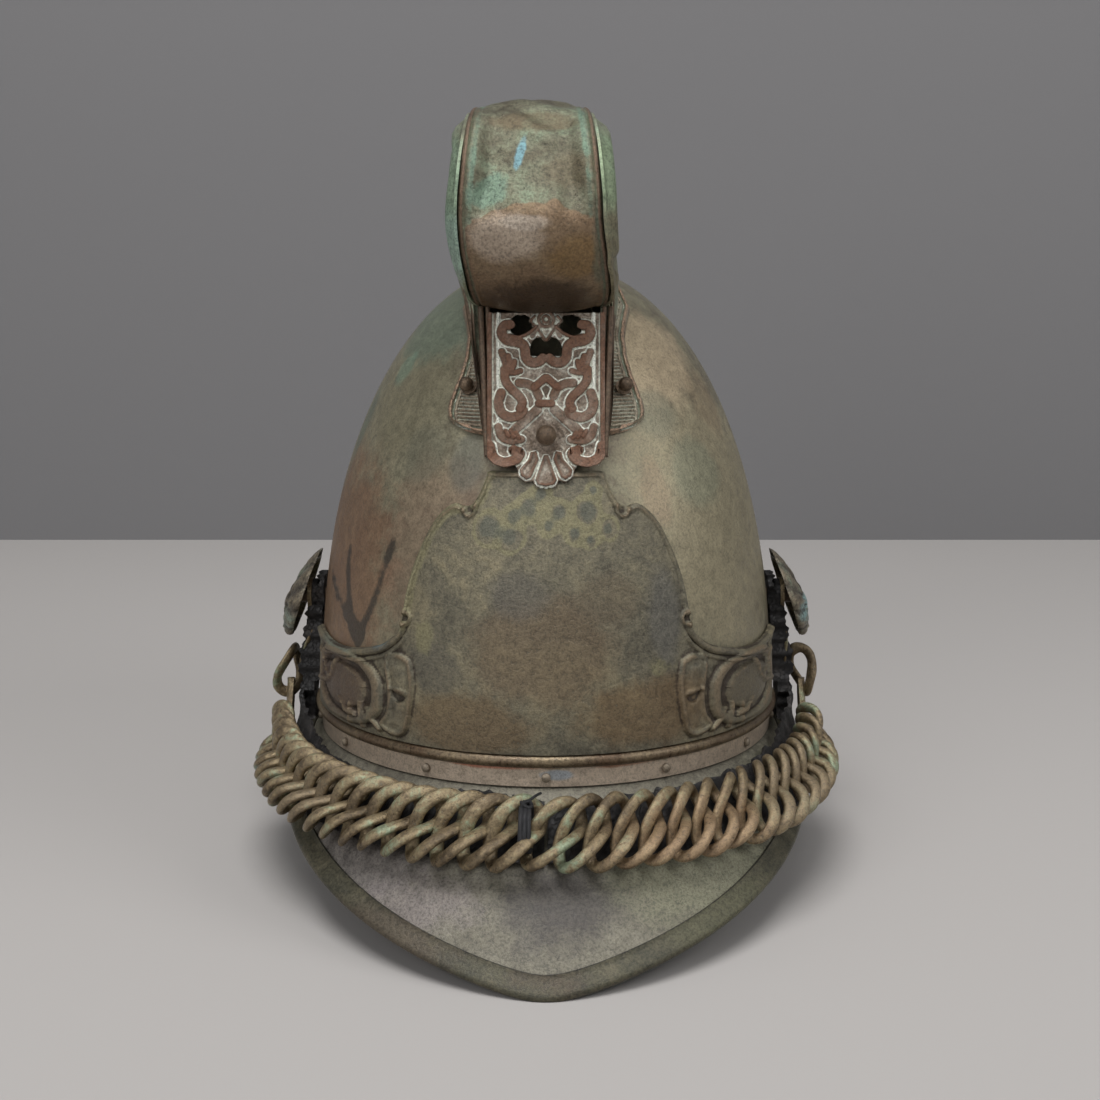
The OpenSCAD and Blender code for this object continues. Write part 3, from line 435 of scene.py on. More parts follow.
peak_zones = [
    floor_spot(-62, -104, 28, (40, 26, 20), (112, 106, 104), 0.7),
    floor_spot(-40, -128, 14, (34, 16, 16), (120, 112, 110), 0.6),
    floor_spot(4, -128, 16, (28, 24, 20), (64, 60, 58), 0.85),
    floor_spot(52, -114, 24, (44, 30, 22), (110, 109, 90), 0.8),
    floor_spot(2, -140, 6, (14, 10, 10), (70, 62, 62), 0.7),
    floor_spot(82, -66, 34, (16, 30, 16), (104, 104, 80), 0.7),
]
brass_peak = patina("grey brown brass peak", [(88, 84, 74), (102, 98, 86), (114, 110, 98)], blotch=34,
                    zones=peak_zones, metal=0.35, rough=0.48, bump=0.45, specks=0.9, lift=1.28, grain=0.26)
FRONT_CAMBER = 0.5
REAR_CAMBER = 0.3
front_phi = np.linspace(FRONT_SWEEP, -FRONT_SWEEP, 260)
rear_phi = np.linspace(180 - REAR_SWEEP, 180 + REAR_SWEEP, 220)
peaks = [("front", front_phi, front_edge, FRONT_CAMBER), ("rear", rear_phi, rear_edge, REAR_CAMBER)]
for name, phi, edge, camber in peaks:
    brim = loft(name + "_peak_brim", peak_rings(phi, edge, camber))
    fit(brim, "helmet", "peak_brass", brass_peak, name + "_peak")

# Bindings: strips of thin brass folded over the peaks' edges and pinched down. Their inner
# edge stands proud of the peak, with painted shadow along it as a dark line, and the fold is rubbed olive
# and brown.
BIND_W = 7.0
BIND_T = 0.8
BIND_GAP = 0.25


def binding_rings(phi, edge):
    out, low = edge(phi)
    fall = ROOT_Z - low
    slope = np.hypot(out, fall)
    along_out = (out / slope)[:, None]
    along_z = (-fall / slope)[:, None]
    width = np.minimum(BIND_W, 0.6 * slope)[:, None]
    bend = np.radians(np.linspace(80, -80, 9))
    thick = PEAK_T / 2 + BIND_GAP + BIND_T
    fold_x = NOSE * np.cos(bend)
    fold_y = -PEAK_T / 2 + thick * np.sin(bend)
    top_x = np.array([-1, -0.99, -0.94, -0.9, -0.6, -0.3, -0.08])
    top_y = BIND_GAP + BIND_T * np.array([0.3, 0.95, 1.0, 0.8, 0.85, 0.95, 1.0])
    under_x = np.array([-0.05, -0.25, -0.5, -0.5, 0.0, 0.0, -0.4, -0.9])
    under_y = np.array([-PEAK_T - BIND_GAP - BIND_T] * 3 + [-PEAK_T - BIND_GAP] * 2 + [BIND_GAP] * 3)
    x = np.concatenate([top_x * width, fold_x + 0 * width, under_x * width], axis=1)
    y = np.concatenate([top_y, fold_y, under_y])
    far_out = out[:, None] + x * along_out - y * along_z
    return rim(phi[:, None], far_out, low[:, None] + x * along_z + y * along_out)


def recolour(node, finish):
    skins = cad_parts[node].data.materials
    skins.clear()
    skins.append(finish)


binding_zones = [
    floor_spot(0, -152, 2, (18, 10, 8), (96, 82, 70), 0.7),
    floor_spot(60, -122, 14, (30, 30, 10), (112, 110, 86), 0.7),
    floor_spot(-50, -128, 10, (36, 30, 10), (104, 92, 78), 0.7),
]
# The dark colour (40, 36, 30) of this finish is painted shadow along the strip's inner edge.
brass_binding = patina("folded brass binding", [(82, 80, 66), (98, 94, 76), (112, 106, 86)], blotch=60,
                       zones=binding_zones, dirt_and_shade=(40, 36, 30), metal=0.42, rough=0.42, bump=0.4, specks=0.6,
                       lift=0.62)
# This mark is low at the inner edge of the top strip, where it lays the painted shadow.
worn = np.array([0.05, 0.12, 0.3, 0.6, 0.5, 0.5, 0.6] + [0.65] * 9 + [0.5] * 8)
for name, phi, edge, camber in peaks:
    strip = loft(name + "_binding_strip", binding_rings(phi, edge), relief=np.tile(worn, (len(phi), 1)))
    for corner in strip.data.vertices:
        corner.co.z = max(corner.co.z, 0.0)
    fit(strip, "helmet", "trim_brass", brass_binding, name + "_peak_binding")
recolour("peak_rivets", patina("worn rivets", [(126, 114, 98), (142, 130, 114)], blotch=90, lift=1.1))

# Front plate: thin brass, struck in a die and bent to the skull. It has a shield with
# shoulders and two wings, each with a coil of hose and a nozzle. The field is bare.
SEAT = 0.35
PLATE_T = 1.0


def smooth_curve(points, count):
    p = np.asarray(points, float)
    p = np.vstack([2 * p[0] - p[1], p, 2 * p[-1] - p[-2]])
    t = np.linspace(0, len(points) - 1 - 1e-9, count)
    i = t.astype(int)
    f = (t - i)[:, None]
    a, b, c, d = p[i], p[i + 1], p[i + 2], p[i + 3]
    return b + f / 2 * (c - a + f * (2 * a - 5 * b + 4 * c - d + f * (3 * (b - c) + d - a)))


def depth_in(x, y, corners):
    inside = np.zeros(x.shape, bool)
    for (ax, ay), (bx, by) in zip(corners, corners[1:] + corners[:1]):
        crossed = (ay > y) != (by > y)
        inside ^= crossed & (x < (bx - ax) * (y - ay) / (by - ay + 1e-12) + ax)
    return np.where(inside, 1, -1) * to_line(x, y, corners + corners[:1])


def blurred(field, rounds):
    for _ in range(rounds):
        field = (field + np.roll(field, 1, 0) + np.roll(field, -1, 0) + np.roll(field, 1, 1)
                 + np.roll(field, -1, 1)) / 5
    return field


plate_edge = [
    (0, 99.5), (8, 99.5), (14.6, 99.3), (15.4, 97.5), (16.6, 92.5), (18.4, 88.2), (20.6, 87.2), (24.0, 87.6),
    (28.4, 81.5), (32.0, 70.0), (34.1, 59.0), (34.9, 49.8), (35.6, 43.0), (38.5, 38.4), (42.8, 35.0),
    (52.9, 31.4), (63.9, 30.6), (76.0, 32.4)
]
half_edge = smooth_curve(plate_edge, 190)
top_edge = np.vstack([half_edge[:0:-1] * [-1, 1], half_edge])
lines = np.linspace(0, 1, 125)
plate_phi = top_edge[:, :1] + 0 * lines
plate_z = (BEAD_R + SEAT) * (1 - lines) + top_edge[:, 1:] * lines
arc = mm_from_front(plate_phi)
side = np.abs(arc)
edge_line = np.stack([mm_from_front(top_edge[:, 0]), top_edge[:, 1]], -1)[::3]
to_edge = to_line(arc, plate_z, edge_line)
wing = ease((side - 52) / 4)
emboss = (1 - wing) * (ridge(to_edge - 1.1, 1.1, 0.7) - ridge(to_edge - 3.1, 0.9, 0.25))
emboss += wing * (ridge(to_edge - 1.5, 1.5, 1.5) + ridge(to_edge - 4.0, 1.0, 0.7))
emboss -= wing * ridge(to_edge - 6.0, 1.2, 0.35)
coil_x = np.abs(side - 91.5) / 26.5
coil_y = np.abs(plate_z - 17.0) / 13.0
coil = (coil_x ** 2.6 + coil_y ** 2.6) ** (1 / 2.6)
emboss += 1.9 * np.clip(1 - ((coil - 0.9) / 0.13) ** 2, 0, 1) ** 0.7
disc = np.hypot((side - 92.5) / 19.5, (plate_z - 17.0) / 8.4)
emboss += 1.1 * ease((1.02 - disc) / 0.14) + 0.5 * ease(1 - disc)
rope = np.abs(disc - 0.93) * 9
emboss += ridge(rope, 1.1, 0.45) * (plate_z > 19) * (0.6 + 0.4 * np.sin(side * 2.6))
nozzle = [(51.4, 32.6), (57.0, 34.2), (63.6, 32.0), (62.6, 25.0), (61.4, 18.5), (62.4, 12.0), (65.8, 7.0),
          (58.6, 4.2), (53.0, 6.2), (50.6, 14.0), (49.5, 23.0), (50.3, 29.6)]
nozzle = [tuple(p) for p in smooth_curve(nozzle + nozzle[:1], 60)]
deep = depth_in(side, plate_z, nozzle)
emboss += 1.5 * ease((deep + 0.6) / 1.3) - 0.5 * ease((deep - 1.4) / 0.9) + 0.5 * ease((deep - 3.0) / 2.5)
notch = np.hypot((side - 55.9) / 3.7, (plate_z - 20.2) / 3.9)
emboss -= 1.5 * ease((1.0 - notch) / 0.3) * (plate_z < 20.0 + 0.3 * (side - 56))
emboss += ridge(to_line(side, plate_z, [(52.0, 20.4), (56.0, 21.4), (60.4, 21.2)]), 0.9, 0.6)
strokes = [
    ([(77.0, 12.8), (76.0, 5.0)], 1.5, 1.5), ([(84.5, 11.5), (84.5, 5.0)], 1.5, 1.7),
    ([(81.0, 8.2), (88.0, 8.6)], 1.5, 1.7), ([(88.6, 9.0), (92.5, 12.0)], 1.4, 1.2),
    ([(66.0, 5.5), (70.0, 8.0), (73.0, 11.5)], 1.5, 0.9),
    ([(98.3, 24.5), (101, 19.0), (106, 15.9), (117.6, 14.6)], 1.7, 1.3),
    ([(104.0, 17.0), (112.0, 24.0), (118.0, 26.0)], 1.4, 1.1)
]
for line, width, high in strokes:
    emboss = np.maximum(emboss, ridge(to_line(side, plate_z, line), width, high + 0.9))
for scroll_at, scroll_z, scroll_r in ((30.3, 86.6, 2.6), (54.8, 47.0, 2.2)):
    spin = np.hypot(side - scroll_at, plate_z - scroll_z)
    emboss += ridge(spin - scroll_r, 0.9, 0.9) - ridge(spin, scroll_r * 0.7, 1.0)
waves = 0.12 * np.sin(arc / 7 + plate_z / 11) * np.sin(plate_z / 8 - arc / 15)
emboss += waves * ease((to_edge - 4) / 6) * (1 - wing)
emboss = np.maximum(emboss * ease(to_edge / 0.9), -0.55)
# Where the embossing falls away this mark drops and the dark colour is laid: grime, and painted shade at the
# feet of the raised work.
proud = emboss - blurred(emboss, 16)
plate_out = wall(plate_phi, plate_z, SEAT + PLATE_T + emboss)
plate_in = wall(plate_phi, plate_z, SEAT + 0 * emboss)
spots = [
    (5, 85.7, 3.2), (15.8, 85.5, 4.6), (1, 81, 2.0), (10.9, 78.6, 2.6), (16.6, 76.4, 2.0), (18.7, 93, 1.6),
    (-6.9, 87.5, 3.4), (-12.3, 84.5, 2.6), (-13.5, 77.5, 4.4), (-22, 80, 5.0), (24, 80, 3.0), (-2, 92, 2.4)
]
spot = sum(0.8 * hump(np.hypot(arc - sx, plate_z - sz), 0, r) for sx, sz, r in spots)
halo = sum(hump(np.hypot(arc - sx, plate_z - sz), r + 1, 1.5) for sx, sz, r in spots)
pale = np.minimum(0.62 * halo, 0.75) + 0.28 * hump(arc, 4, 22) * hump(plate_z, 84, 9)
pale = np.maximum(pale, ease((7 - to_edge) / 5) * (arc < -20) * ease((plate_z - 36) / 8) * 0.62)
pale = np.maximum(pale, 0.65 * hump(arc, -46, 6) * hump(plate_z, 40, 9))
pale = np.maximum(pale, 0.62 * hump(arc, 43, 7) * hump(plate_z, 31, 6))
plate_zones = [
    patch(0, 38, 30, 22, (104, 88, 68), 0.6), patch(24, 16, 30, 14, (104, 84, 58), 0.65),
    patch(-18, 12, 30, 12, (104, 86, 62), 0.65), patch(28, 48, 8, 22, (94, 92, 86), 0.65),
    patch(-6, 58, 12, 10, (92, 88, 80), 0.6), patch(14, 56, 14, 10, (98, 88, 72), 0.6),
    patch(-26, 30, 12, 10, (90, 86, 76), 0.6), patch(-58, 18, 28, 15, (84, 66, 54), 0.75),
    patch(-43, 37, 8, 3, (96, 108, 108), 0.8), patch(52, 18, 26, 15, (88, 80, 64), 0.7),
    patch(-60, 31, 20, 2.5, (112, 122, 110), 0.6),
]
plate_tones = [(84, 80, 68), (100, 95, 80), (110, 104, 86), (122, 114, 92)]
# Its dark (50, 40, 32) is grime together with painted shade at the feet of the embossing.
brass_plate = patina("struck brass plate", plate_tones, blotch=38, zones=plate_zones,
                     coats=[("pale", (124, 119, 90), 0.7), ("spot", (84, 86, 76), 0.75)],
                     rubbed=(112, 98, 78), dirt_and_shade=(50, 40, 32), metal=0.45, rough=0.42, bump=0.6, specks=0.6,
                     lift=1.12, grain=0.2)
plate = loft("front_plate_shield", sheet_rings(plate_out, plate_in), relief=both(0.5 + 0.62 * proud),
             pale=both(pale), spot=both(spot))
fit(plate, "helmet", "plate_brass", brass_plate, "front_plate")

# Comb sides: two swelling plates of thin brass that stand from the skull up to the crest.
# The path of the comb is three arcs: the roll in front, the arch over the crown and the tail.
ROLL_R = 36.5
ROLL_Y = -HALF_L + 33.3
ROLL_Z = CROWN + 18.4
ROLL_OPEN = 9.0
COMB_OVER = 42.8
TAIL_Z = 85.0
TAIL_H = 13.0
COMB_T = 1.0
GRILLE_Z = 106.0
FOOT_W = 41.0
FOOT_W_TAIL = 23.0
FOOT_PLAY = 0.8
ROLL_N = 10
ARCH_N = 5
TAIL_N = 7
arch_drop = ROLL_Z + ROLL_R - CROWN - COMB_OVER
ARCH_R = (ROLL_Y ** 2 + arch_drop ** 2) / (2 * arch_drop)
ARCH_TURN = math.degrees(math.asin((HALF_L * 0.22 - ROLL_Y) / ARCH_R))
arch_a = math.radians(ARCH_TURN)
arch_end = np.array([ROLL_Y + ARCH_R * math.sin(arch_a), ROLL_Z + ROLL_R - ARCH_R * (1 - math.cos(arch_a))])
tail_end = np.array([HALF_L * float(share_at(TAIL_Z)) + TAIL_H, TAIL_Z])
tail_gap = tail_end - arch_end
TAIL_R = tail_gap @ tail_gap / (2 * (tail_gap @ [-math.sin(arch_a), -math.cos(arch_a)]))
TAIL_TURN = math.degrees(2 * math.asin(np.linalg.norm(tail_gap) / (2 * TAIL_R)))
STATIONS = ROLL_N + ARCH_N + TAIL_N


def crest(i, up=0.0):
    i = np.asarray(i, float)
    on_roll = i <= ROLL_N
    on_arch = i <= ROLL_N + ARCH_N
    turn = np.where(on_roll, -(180 - ROLL_OPEN) * (1 - i / ROLL_N), np.where(
        on_arch, ARCH_TURN * (i - ROLL_N) / ARCH_N, ARCH_TURN + TAIL_TURN * (i - ROLL_N - ARCH_N) / TAIL_N))
    mid_y = np.where(on_arch, ROLL_Y, arch_end[0] - TAIL_R * math.sin(arch_a))
    mid_z = np.where(on_roll, ROLL_Z, np.where(
        on_arch, ROLL_Z + ROLL_R - ARCH_R, arch_end[1] - TAIL_R * math.cos(arch_a)))
    r = np.where(on_roll, ROLL_R, np.where(on_arch, ARCH_R, TAIL_R)) + up
    a = np.radians(turn)
    return mid_y + r * np.sin(a), mid_z + r * np.cos(a)


def crest_w(i):
    places = [0, 1.5, 3, 5, 8, 10, 13, 22]
    return np.interp(i, places, [46, 48.5, 49, 47.5, 42, 39, 37, 27])


def psi_at(z):
    return math.degrees(math.acos((z / CROWN) ** (FULL / 2)))


def beside(psi, x, off=0.0):
    psi, x, off = np.broadcast_arrays(np.asarray(psi, float), x, off)
    s = np.sign(psi) * np.abs(np.sin(np.radians(psi))) ** (2 / FULL)
    c = np.abs(np.cos(np.radians(psi))) ** (2 / FULL)
    u = np.abs(x) / (HALF_W + off)
    k = np.ones_like(psi)
    for _ in range(6):
        ring = u * u + s * s * k * k
        error = ring ** (FULL / 2) + (c * k) ** FULL - 1
        slope = FULL * ring ** (FULL / 2 - 1) * s * s * k + FULL * c ** FULL * k ** (FULL - 1)
        k = k - error / slope
    return xyz(x, (HALF_L + off) * s * k, (CROWN + off) * c * k)


FOOT_FRONT = -psi_at(GRILLE_Z)
FOOT_REAR = psi_at(TAIL_Z - 1.7)


def foot_psi(i):
    part = np.clip((i - ROLL_N - 1) / (ARCH_N + TAIL_N - 1), 0, None)
    return FOOT_FRONT + (FOOT_REAR - FOOT_FRONT) * part ** 0.9


def foot_x(psi):
    part = np.clip((psi - FOOT_FRONT) / (FOOT_REAR - FOOT_FRONT), 0, 1)
    return (FOOT_W + (FOOT_W_TAIL - FOOT_W) * part) / 2


def comb_lean(z):
    return -1.4 * ease((z - 122) / 30) - 3.9 * ease((z - 150) / 38)


def crest_drop(i):
    return 3.6 * hump(i, 9.8, 2.2)


def tube(line, r, sides=8, closed=False):
    line = np.asarray(line, float)
    r = np.broadcast_to(r, len(line))[:, None, None]
    ahead = np.roll(line, -1, 0) - np.roll(line, 1, 0)
    if not closed:
        ahead[0] = line[1] - line[0]
        ahead[-1] = line[-1] - line[-2]
    run = unit(ahead)
    u = unit(np.cross(run, [0.13, 0.31, 0.94]))
    v = np.cross(run, u)
    a = full_turn(sides)[None, :, None]
    return line[:, None] + r * (np.cos(a) * u[:, None] + np.sin(a) * v[:, None])


def joined(name, parts, **marks):
    points = np.concatenate([stand(rings).reshape(-1, 3) for rings, _ in parts])
    faces = []
    start = 0
    for rings, closed in parts:
        m, n = rings.shape[:2]
        faces += loft_faces(m, n, closed, start)
        start += m * n
    return body_of(name, points, faces, **marks)


RAILS = ((18.9, 20.4, 0.8), (20.5, 22.8, 1.05))
PINCH = {-1: (2.6, -96, 5, 199, 10), 1: (3.2, -92, 8, 171, 2.6)}


# A pinch is a dent in the plate's front edge: how deep, where along Y and Z, and how wide.
def side_plate(hand, thick):
    i = np.linspace(1, STATIONS, 260)
    v = np.linspace(0, 1, 48)
    top_y, top_z = crest(i, -COMB_T - 0.1 - crest_drop(i))
    psi = foot_psi(i)
    half = foot_x(psi)
    low = beside(psi, half, FOOT_PLAY)
    a = np.radians(-(182 - ROLL_OPEN) - 0.2 * i)
    rolled = (i <= ROLL_N)[:, None]
    fan_r = ROLL_R - 1.35
    fan = xyz(half, ROLL_Y + fan_r * np.sin(a), ROLL_Z + fan_r * np.cos(a))
    low = np.where(rolled, fan, low)
    y = top_y[:, None] + (low[:, 1] - top_y)[:, None] * v
    z = top_z[:, None] + (low[:, 2] - top_z)[:, None] * v
    reach = np.hypot(low[:, 1] - top_y, low[:, 2] - top_z)
    long_bow = 0.085 * reach[:, None] * 4 * v * (1 - v)
    far = np.hypot(y - ROLL_Y, z - ROLL_Z) / (ROLL_R - 1.1)
    dome = (7.8 + 0.6 * hand) * np.clip(1 - far ** 2, 0, 1) ** 0.75 + 1.2 * ridge(far - 0.82, 0.1, 1)
    behind = ease((y - ROLL_Y) / 30)
    low_bow = np.maximum(long_bow * (0.35 + 0.65 * ease((y + 80) / 24)), dome)
    bow = np.where(z < ROLL_Z, low_bow, dome * (1 - behind) + long_bow * behind)
    bow = bow * ease(v * 12) * ease((1 - v) * 9)
    x = (crest_w(i)[:, None] / 2 + 0.2) * (1 - v) + (half[:, None] + 0.1) * v + bow + thick
    deep, at_y, wide_y, at_z, wide_z = PINCH[hand]
    x = x - deep * hump(y, at_y, wide_y) * hump(z, at_z, wide_z)
    return xyz(hand * x + comb_lean(z), y, z)


side_zones = [
    floor_spot(-32, -90, 236, (12, 30, 14), (124, 146, 134), 0.75),
    floor_spot(-32, -70, 258, (12, 40, 16), (104, 124, 104), 0.7),
    floor_spot(24, -80, 232, (10, 40, 24), (96, 86, 66), 0.65),
    floor_spot(22, -84, 262, (10, 30, 14), (108, 124, 98), 0.7),
]
side_tones = [(80, 80, 66), (98, 98, 80), (108, 112, 94), (112, 128, 108)]
brass_side = patina("green brass comb side", side_tones, zones=side_zones, metal=0.42, rough=0.42,
                    coats=[("rail", (74, 54, 42), 0.85)], bump=0.5, specks=0.6, lift=1.52, grain=0.3)
rail_foot_y = -HALF_L * float(share_at(GRILLE_Z)) - 2.4
rail_top_y, rail_top_z = crest(0) + np.array([-0.6, 1.5])
SIDES = ((-1, "left"), (1, "right"))
for hand, name in SIDES:
    rings = sheet_rings(side_plate(hand, COMB_T), side_plate(hand, 0.0))
    down = np.linspace(0, 1, 40)[:, None]
    parts = [(rings, False)]
    for foot, top, r in RAILS:
        rail_foot = np.array([hand * foot, rail_foot_y, GRILLE_Z - 1])
        rail_top = np.array([hand * top, rail_top_y, rail_top_z])
        parts.append((tube(rail_foot + (rail_top - rail_foot) * down, r, 12), False))
    rusty = (rings[..., 2] < 152) & (rings[..., 1] < -62)
    marks = np.concatenate([1.0 * rusty.ravel(), np.ones(len(RAILS) * 40 * 12)])
    plate = joined("comb_side_plate_" + name, parts, rail=marks)
    fit(plate, "helmet", "comb_brass", brass_side, "comb_side_" + name)

# Crest: the strip that closes the comb's top and rolls over in front. Its edges are folded
# into raised beads over the side plates, and the roll has been knocked hollow above its nose.
crest_i = np.concatenate([np.linspace(0, ROLL_N, 230), np.linspace(ROLL_N, STATIONS, 120)[1:]])[::-1]
across = np.sin(np.radians(np.linspace(-90, 90, 91)))
half_strip = crest_w(crest_i)[:, None] / 2
strip_x = half_strip * across
from_edge = half_strip - np.abs(strip_x)
crest_turn = -(180 - ROLL_OPEN) * (1 - crest_i / ROLL_N)
crest_turn = np.where(crest_i <= ROLL_N, crest_turn, (crest_i - ROLL_N) * 10)[:, None]
beads = ridge(from_edge - 0.9, 0.95, 1.5) + ridge(from_edge - 2.9, 0.9, 0.7)
camber = 1 - (strip_x / half_strip) ** 2
nose = ease((-crest_turn - 30) / 60)
lower = -89 - 11 * np.clip(-strip_x / 21, 0, 1) ** 1.6 - 6 * np.clip(strip_x / 17, 0, 1) ** 2
lower = lower + 0.6 * np.sin(strip_x * 0.9) + 3 * hump(strip_x, 8, 2.5)
hollow = ease((crest_turn - lower + 12) / 30) * ease((-8 - crest_turn) / 62) * ease((from_edge - 3.4) / 7)
lip = hump(crest_turn - lower, -5, 6) * ease((from_edge - 3) / 6)
folds = np.sin((crest_turn + 0.25 * strip_x + 6 * np.sin(strip_x * 0.16)) * 0.26)
folds = folds * ease((crest_turn + 64) / 14) * ease((from_edge - 3) / 5) * (crest_turn < 4)
up = 0.55 * beads + camber * (1.2 + 2.6 * nose) - 2.4 * nose - 1.0 - 5.2 * hollow + 0.45 * lip + 0.5 * folds
up = up + 1.6 * camber * hump(crest_turn, -112, 22)
up = up - crest_drop(crest_i)[:, None] * (1 - 0.66 * camber)
uneven = 0.3 * np.sin(strip_x * 0.35 + crest_turn * 0.1) * np.sin(crest_turn * 0.13)
up = up + uneven * ease((from_edge - 3) / 6)
top_y, top_z = crest(crest_i[:, None], up + 0.5)
low_y, low_z = crest(crest_i[:, None], np.minimum(up, -1.2) - COMB_T)
strip_top = xyz(strip_x + comb_lean(top_z), top_y, top_z)
strip_low = xyz(strip_x * 0.995 + comb_lean(low_z), low_y, low_z)
ball = ease((lower - crest_turn + 2) / 6) * ease((from_edge - 1) / 3)
mint = 0.52 * ease((2.6 - np.abs(from_edge - 3.6)) / 2) * (crest_turn > lower - 3)
mint = np.maximum(mint, 0.9 * hump(strip_x, -12, 8) * hump(crest_turn - lower, 12, 12))
blue_x = (crest_turn + 62) * 0.12 - 3.6
blue = 0.78 * hump(strip_x, blue_x, 2.1) * np.exp(-((crest_turn + 60) / 15) ** 4)
crest_zones = [
    # The two pale spots high on the left of the polished ball are painted highlights.
    floor_spot(-14, -94, 240, (15, 14, 9), (170, 156, 140), 0.7),
    floor_spot(-7, -94, 245, (9, 9, 3), (186, 174, 160), 0.5),
    floor_spot(11, -92, 233, (13, 12, 9), (122, 96, 58), 0.65),
    # This dark spot under the ball of the roll is painted shade.
    floor_spot(-2, -80, 216, (26, 20, 12), (58, 44, 30), 0.85),
    floor_spot(19, -88, 236, (4, 14, 22), (92, 98, 84), 0.65),
    floor_spot(-2, -74, 277, (20, 10, 4), (98, 82, 60), 0.65),
    floor_spot(8, -88, 262, (10, 12, 7), (108, 98, 78), 0.6),
]
crest_tones = [(88, 82, 66), (102, 100, 82), (112, 114, 94), (118, 130, 108)]
brass_crest = patina("green brass crest", crest_tones, blotch=48, zones=crest_zones, rubbed=(104, 80, 64),
                     dirt_and_shade=(60, 62, 50), metal=0.5, under=[("ball", (122, 99, 76), 0.85)],
                     coats=[("mint", (108, 134, 116), 0.7), ("blue", (112, 158, 170), 0.7)],
                     rough=0.36, bump=0.7, specks=0.4, lift=1.06, grain=0.22)
strip_relief = both(0.5 + beads * 0.25 - 0.1 * hollow)
strip = loft("comb_crest_strip", sheet_rings(strip_top, strip_low), relief=strip_relief, ball=both(ball),
             mint=both(mint), blue=both(blue))
fit(strip, "helmet", "comb_brass", brass_crest, "comb_crest")

# Flanges: cast borders with fine ribs and a wire edge, which lie on the skull along the
# comb's feet and take the side screws.
FLANGE_H = 1.8
FLANGE_FOOT = 114.2


def flange_rings(hand):
    front = np.linspace(-psi_at(FLANGE_FOOT), -20, 640)
    psi = np.concatenate([front, np.linspace(-20, psi_at(TAIL_Z + 5), 160)[1:]])[:, None]
    f = (psi - psi[0]) / (psi[-1] - psi[0])
    near = foot_x(psi) + COMB_T + FLANGE_H * 0.34 + SEAT
    foot_z = CROWN * np.cos(np.radians(psi)) ** (2 / FULL)
    heights = [FLANGE_FOOT, 114.5, 115.4, 117, 120, 124, 129, 134, 140, 148, 154, 161, 168]
    widths = [5.0, 9.5, 11.6, 12.8, 13.2, 12.8, 11.4, 9.6, 8.2, 7.8, 9.0, 11.0, 8.0]
    width = np.where(psi < 0, np.interp(foot_z, heights, widths), 5.0)
    v = np.linspace(0, 1, 40)
    border = np.minimum((1 - v) * width, (foot_z - 113.6) + 60 * (psi > 0))
    x = near + width * v
    turn = psi + 0.0038 * (x * x - near * near) * ease((-psi - 18) / 20) + 1.2 * v ** 4 * ease(1 - f / 0.06)
    spot = beside(turn, x, FOOT_PLAY)
    rib = 0.34 * np.sin(spot[..., 2] * 5.2) * ease((border - 3.4) * 2) * ease(v * 9)
    edge = ridge(border - 1.0, 1.0, 1.1) + ridge(border - 2.9, 0.7, 0.5)
    groove = ridge(border - 2.1, 0.5, 1.0) * 0.4
    up = FLANGE_H * 0.5 + rib + edge - groove
    top = beside(turn, x, FOOT_PLAY + up)
    return sheet_rings(top, spot) * [hand, 1, 1], both(0.46 + rib * 0.6 + edge * 0.3 - groove)


brass_flange = patina("green brass flange", [(84, 74, 62), (102, 94, 80), (118, 114, 100)], blotch=90,
                      rubbed=(116, 90, 72), dirt_and_shade=(134, 140, 128), metal=0.45, rough=0.4, bump=0.5,
                      specks=0.8, lift=1.8, grain=0.3)
for hand, name in SIDES:
    rings, marks = flange_rings(hand)
    border = loft("comb_flange_border_" + name, rings, relief=marks)
    fit(border, "helmet", "comb_brass", brass_flange, "comb_flange_" + name)

# Grille: a cast plate that closes the comb's front under the roll. It is pierced for air
# between raised scrolls, worn to red copper over a pale ground, and ends in a palmette.
GRILLE_T = 1.4
grille_top = np.array(crest(0.0))
grille_foot = np.array([-HALF_L * float(share_at(GRILLE_Z)) - 1.7, GRILLE_Z])
grille_rise = grille_top - grille_foot
GRILLE_H = float(np.hypot(*grille_rise)) - 2 * SEAT
grille_turn = math.atan2(grille_rise[0], grille_rise[1])
PALM_DROP = 13.2
fall = wall(0.0, np.array([GRILLE_Z, GRILLE_Z - PALM_DROP]))
palm_turn = math.atan2(fall[0, 1] - fall[1, 1], PALM_DROP)


def on_grille(x, up, out):
    turn = np.where(up > 0, grille_turn, palm_turn)
    y = grille_foot[0] + up * np.sin(turn) - out * np.cos(turn)
    z = grille_foot[1] + up * np.cos(turn) + out * np.sin(turn)
    return xyz(x, y, z)


def band(gap, width, high):
    return high * ease((width + 0.5 - np.abs(gap)) / 0.6)


def curve(x, y, points, width, high):
    return band(to_line(x, y, smooth_curve(points, 9 * len(points)).tolist()), width, high)


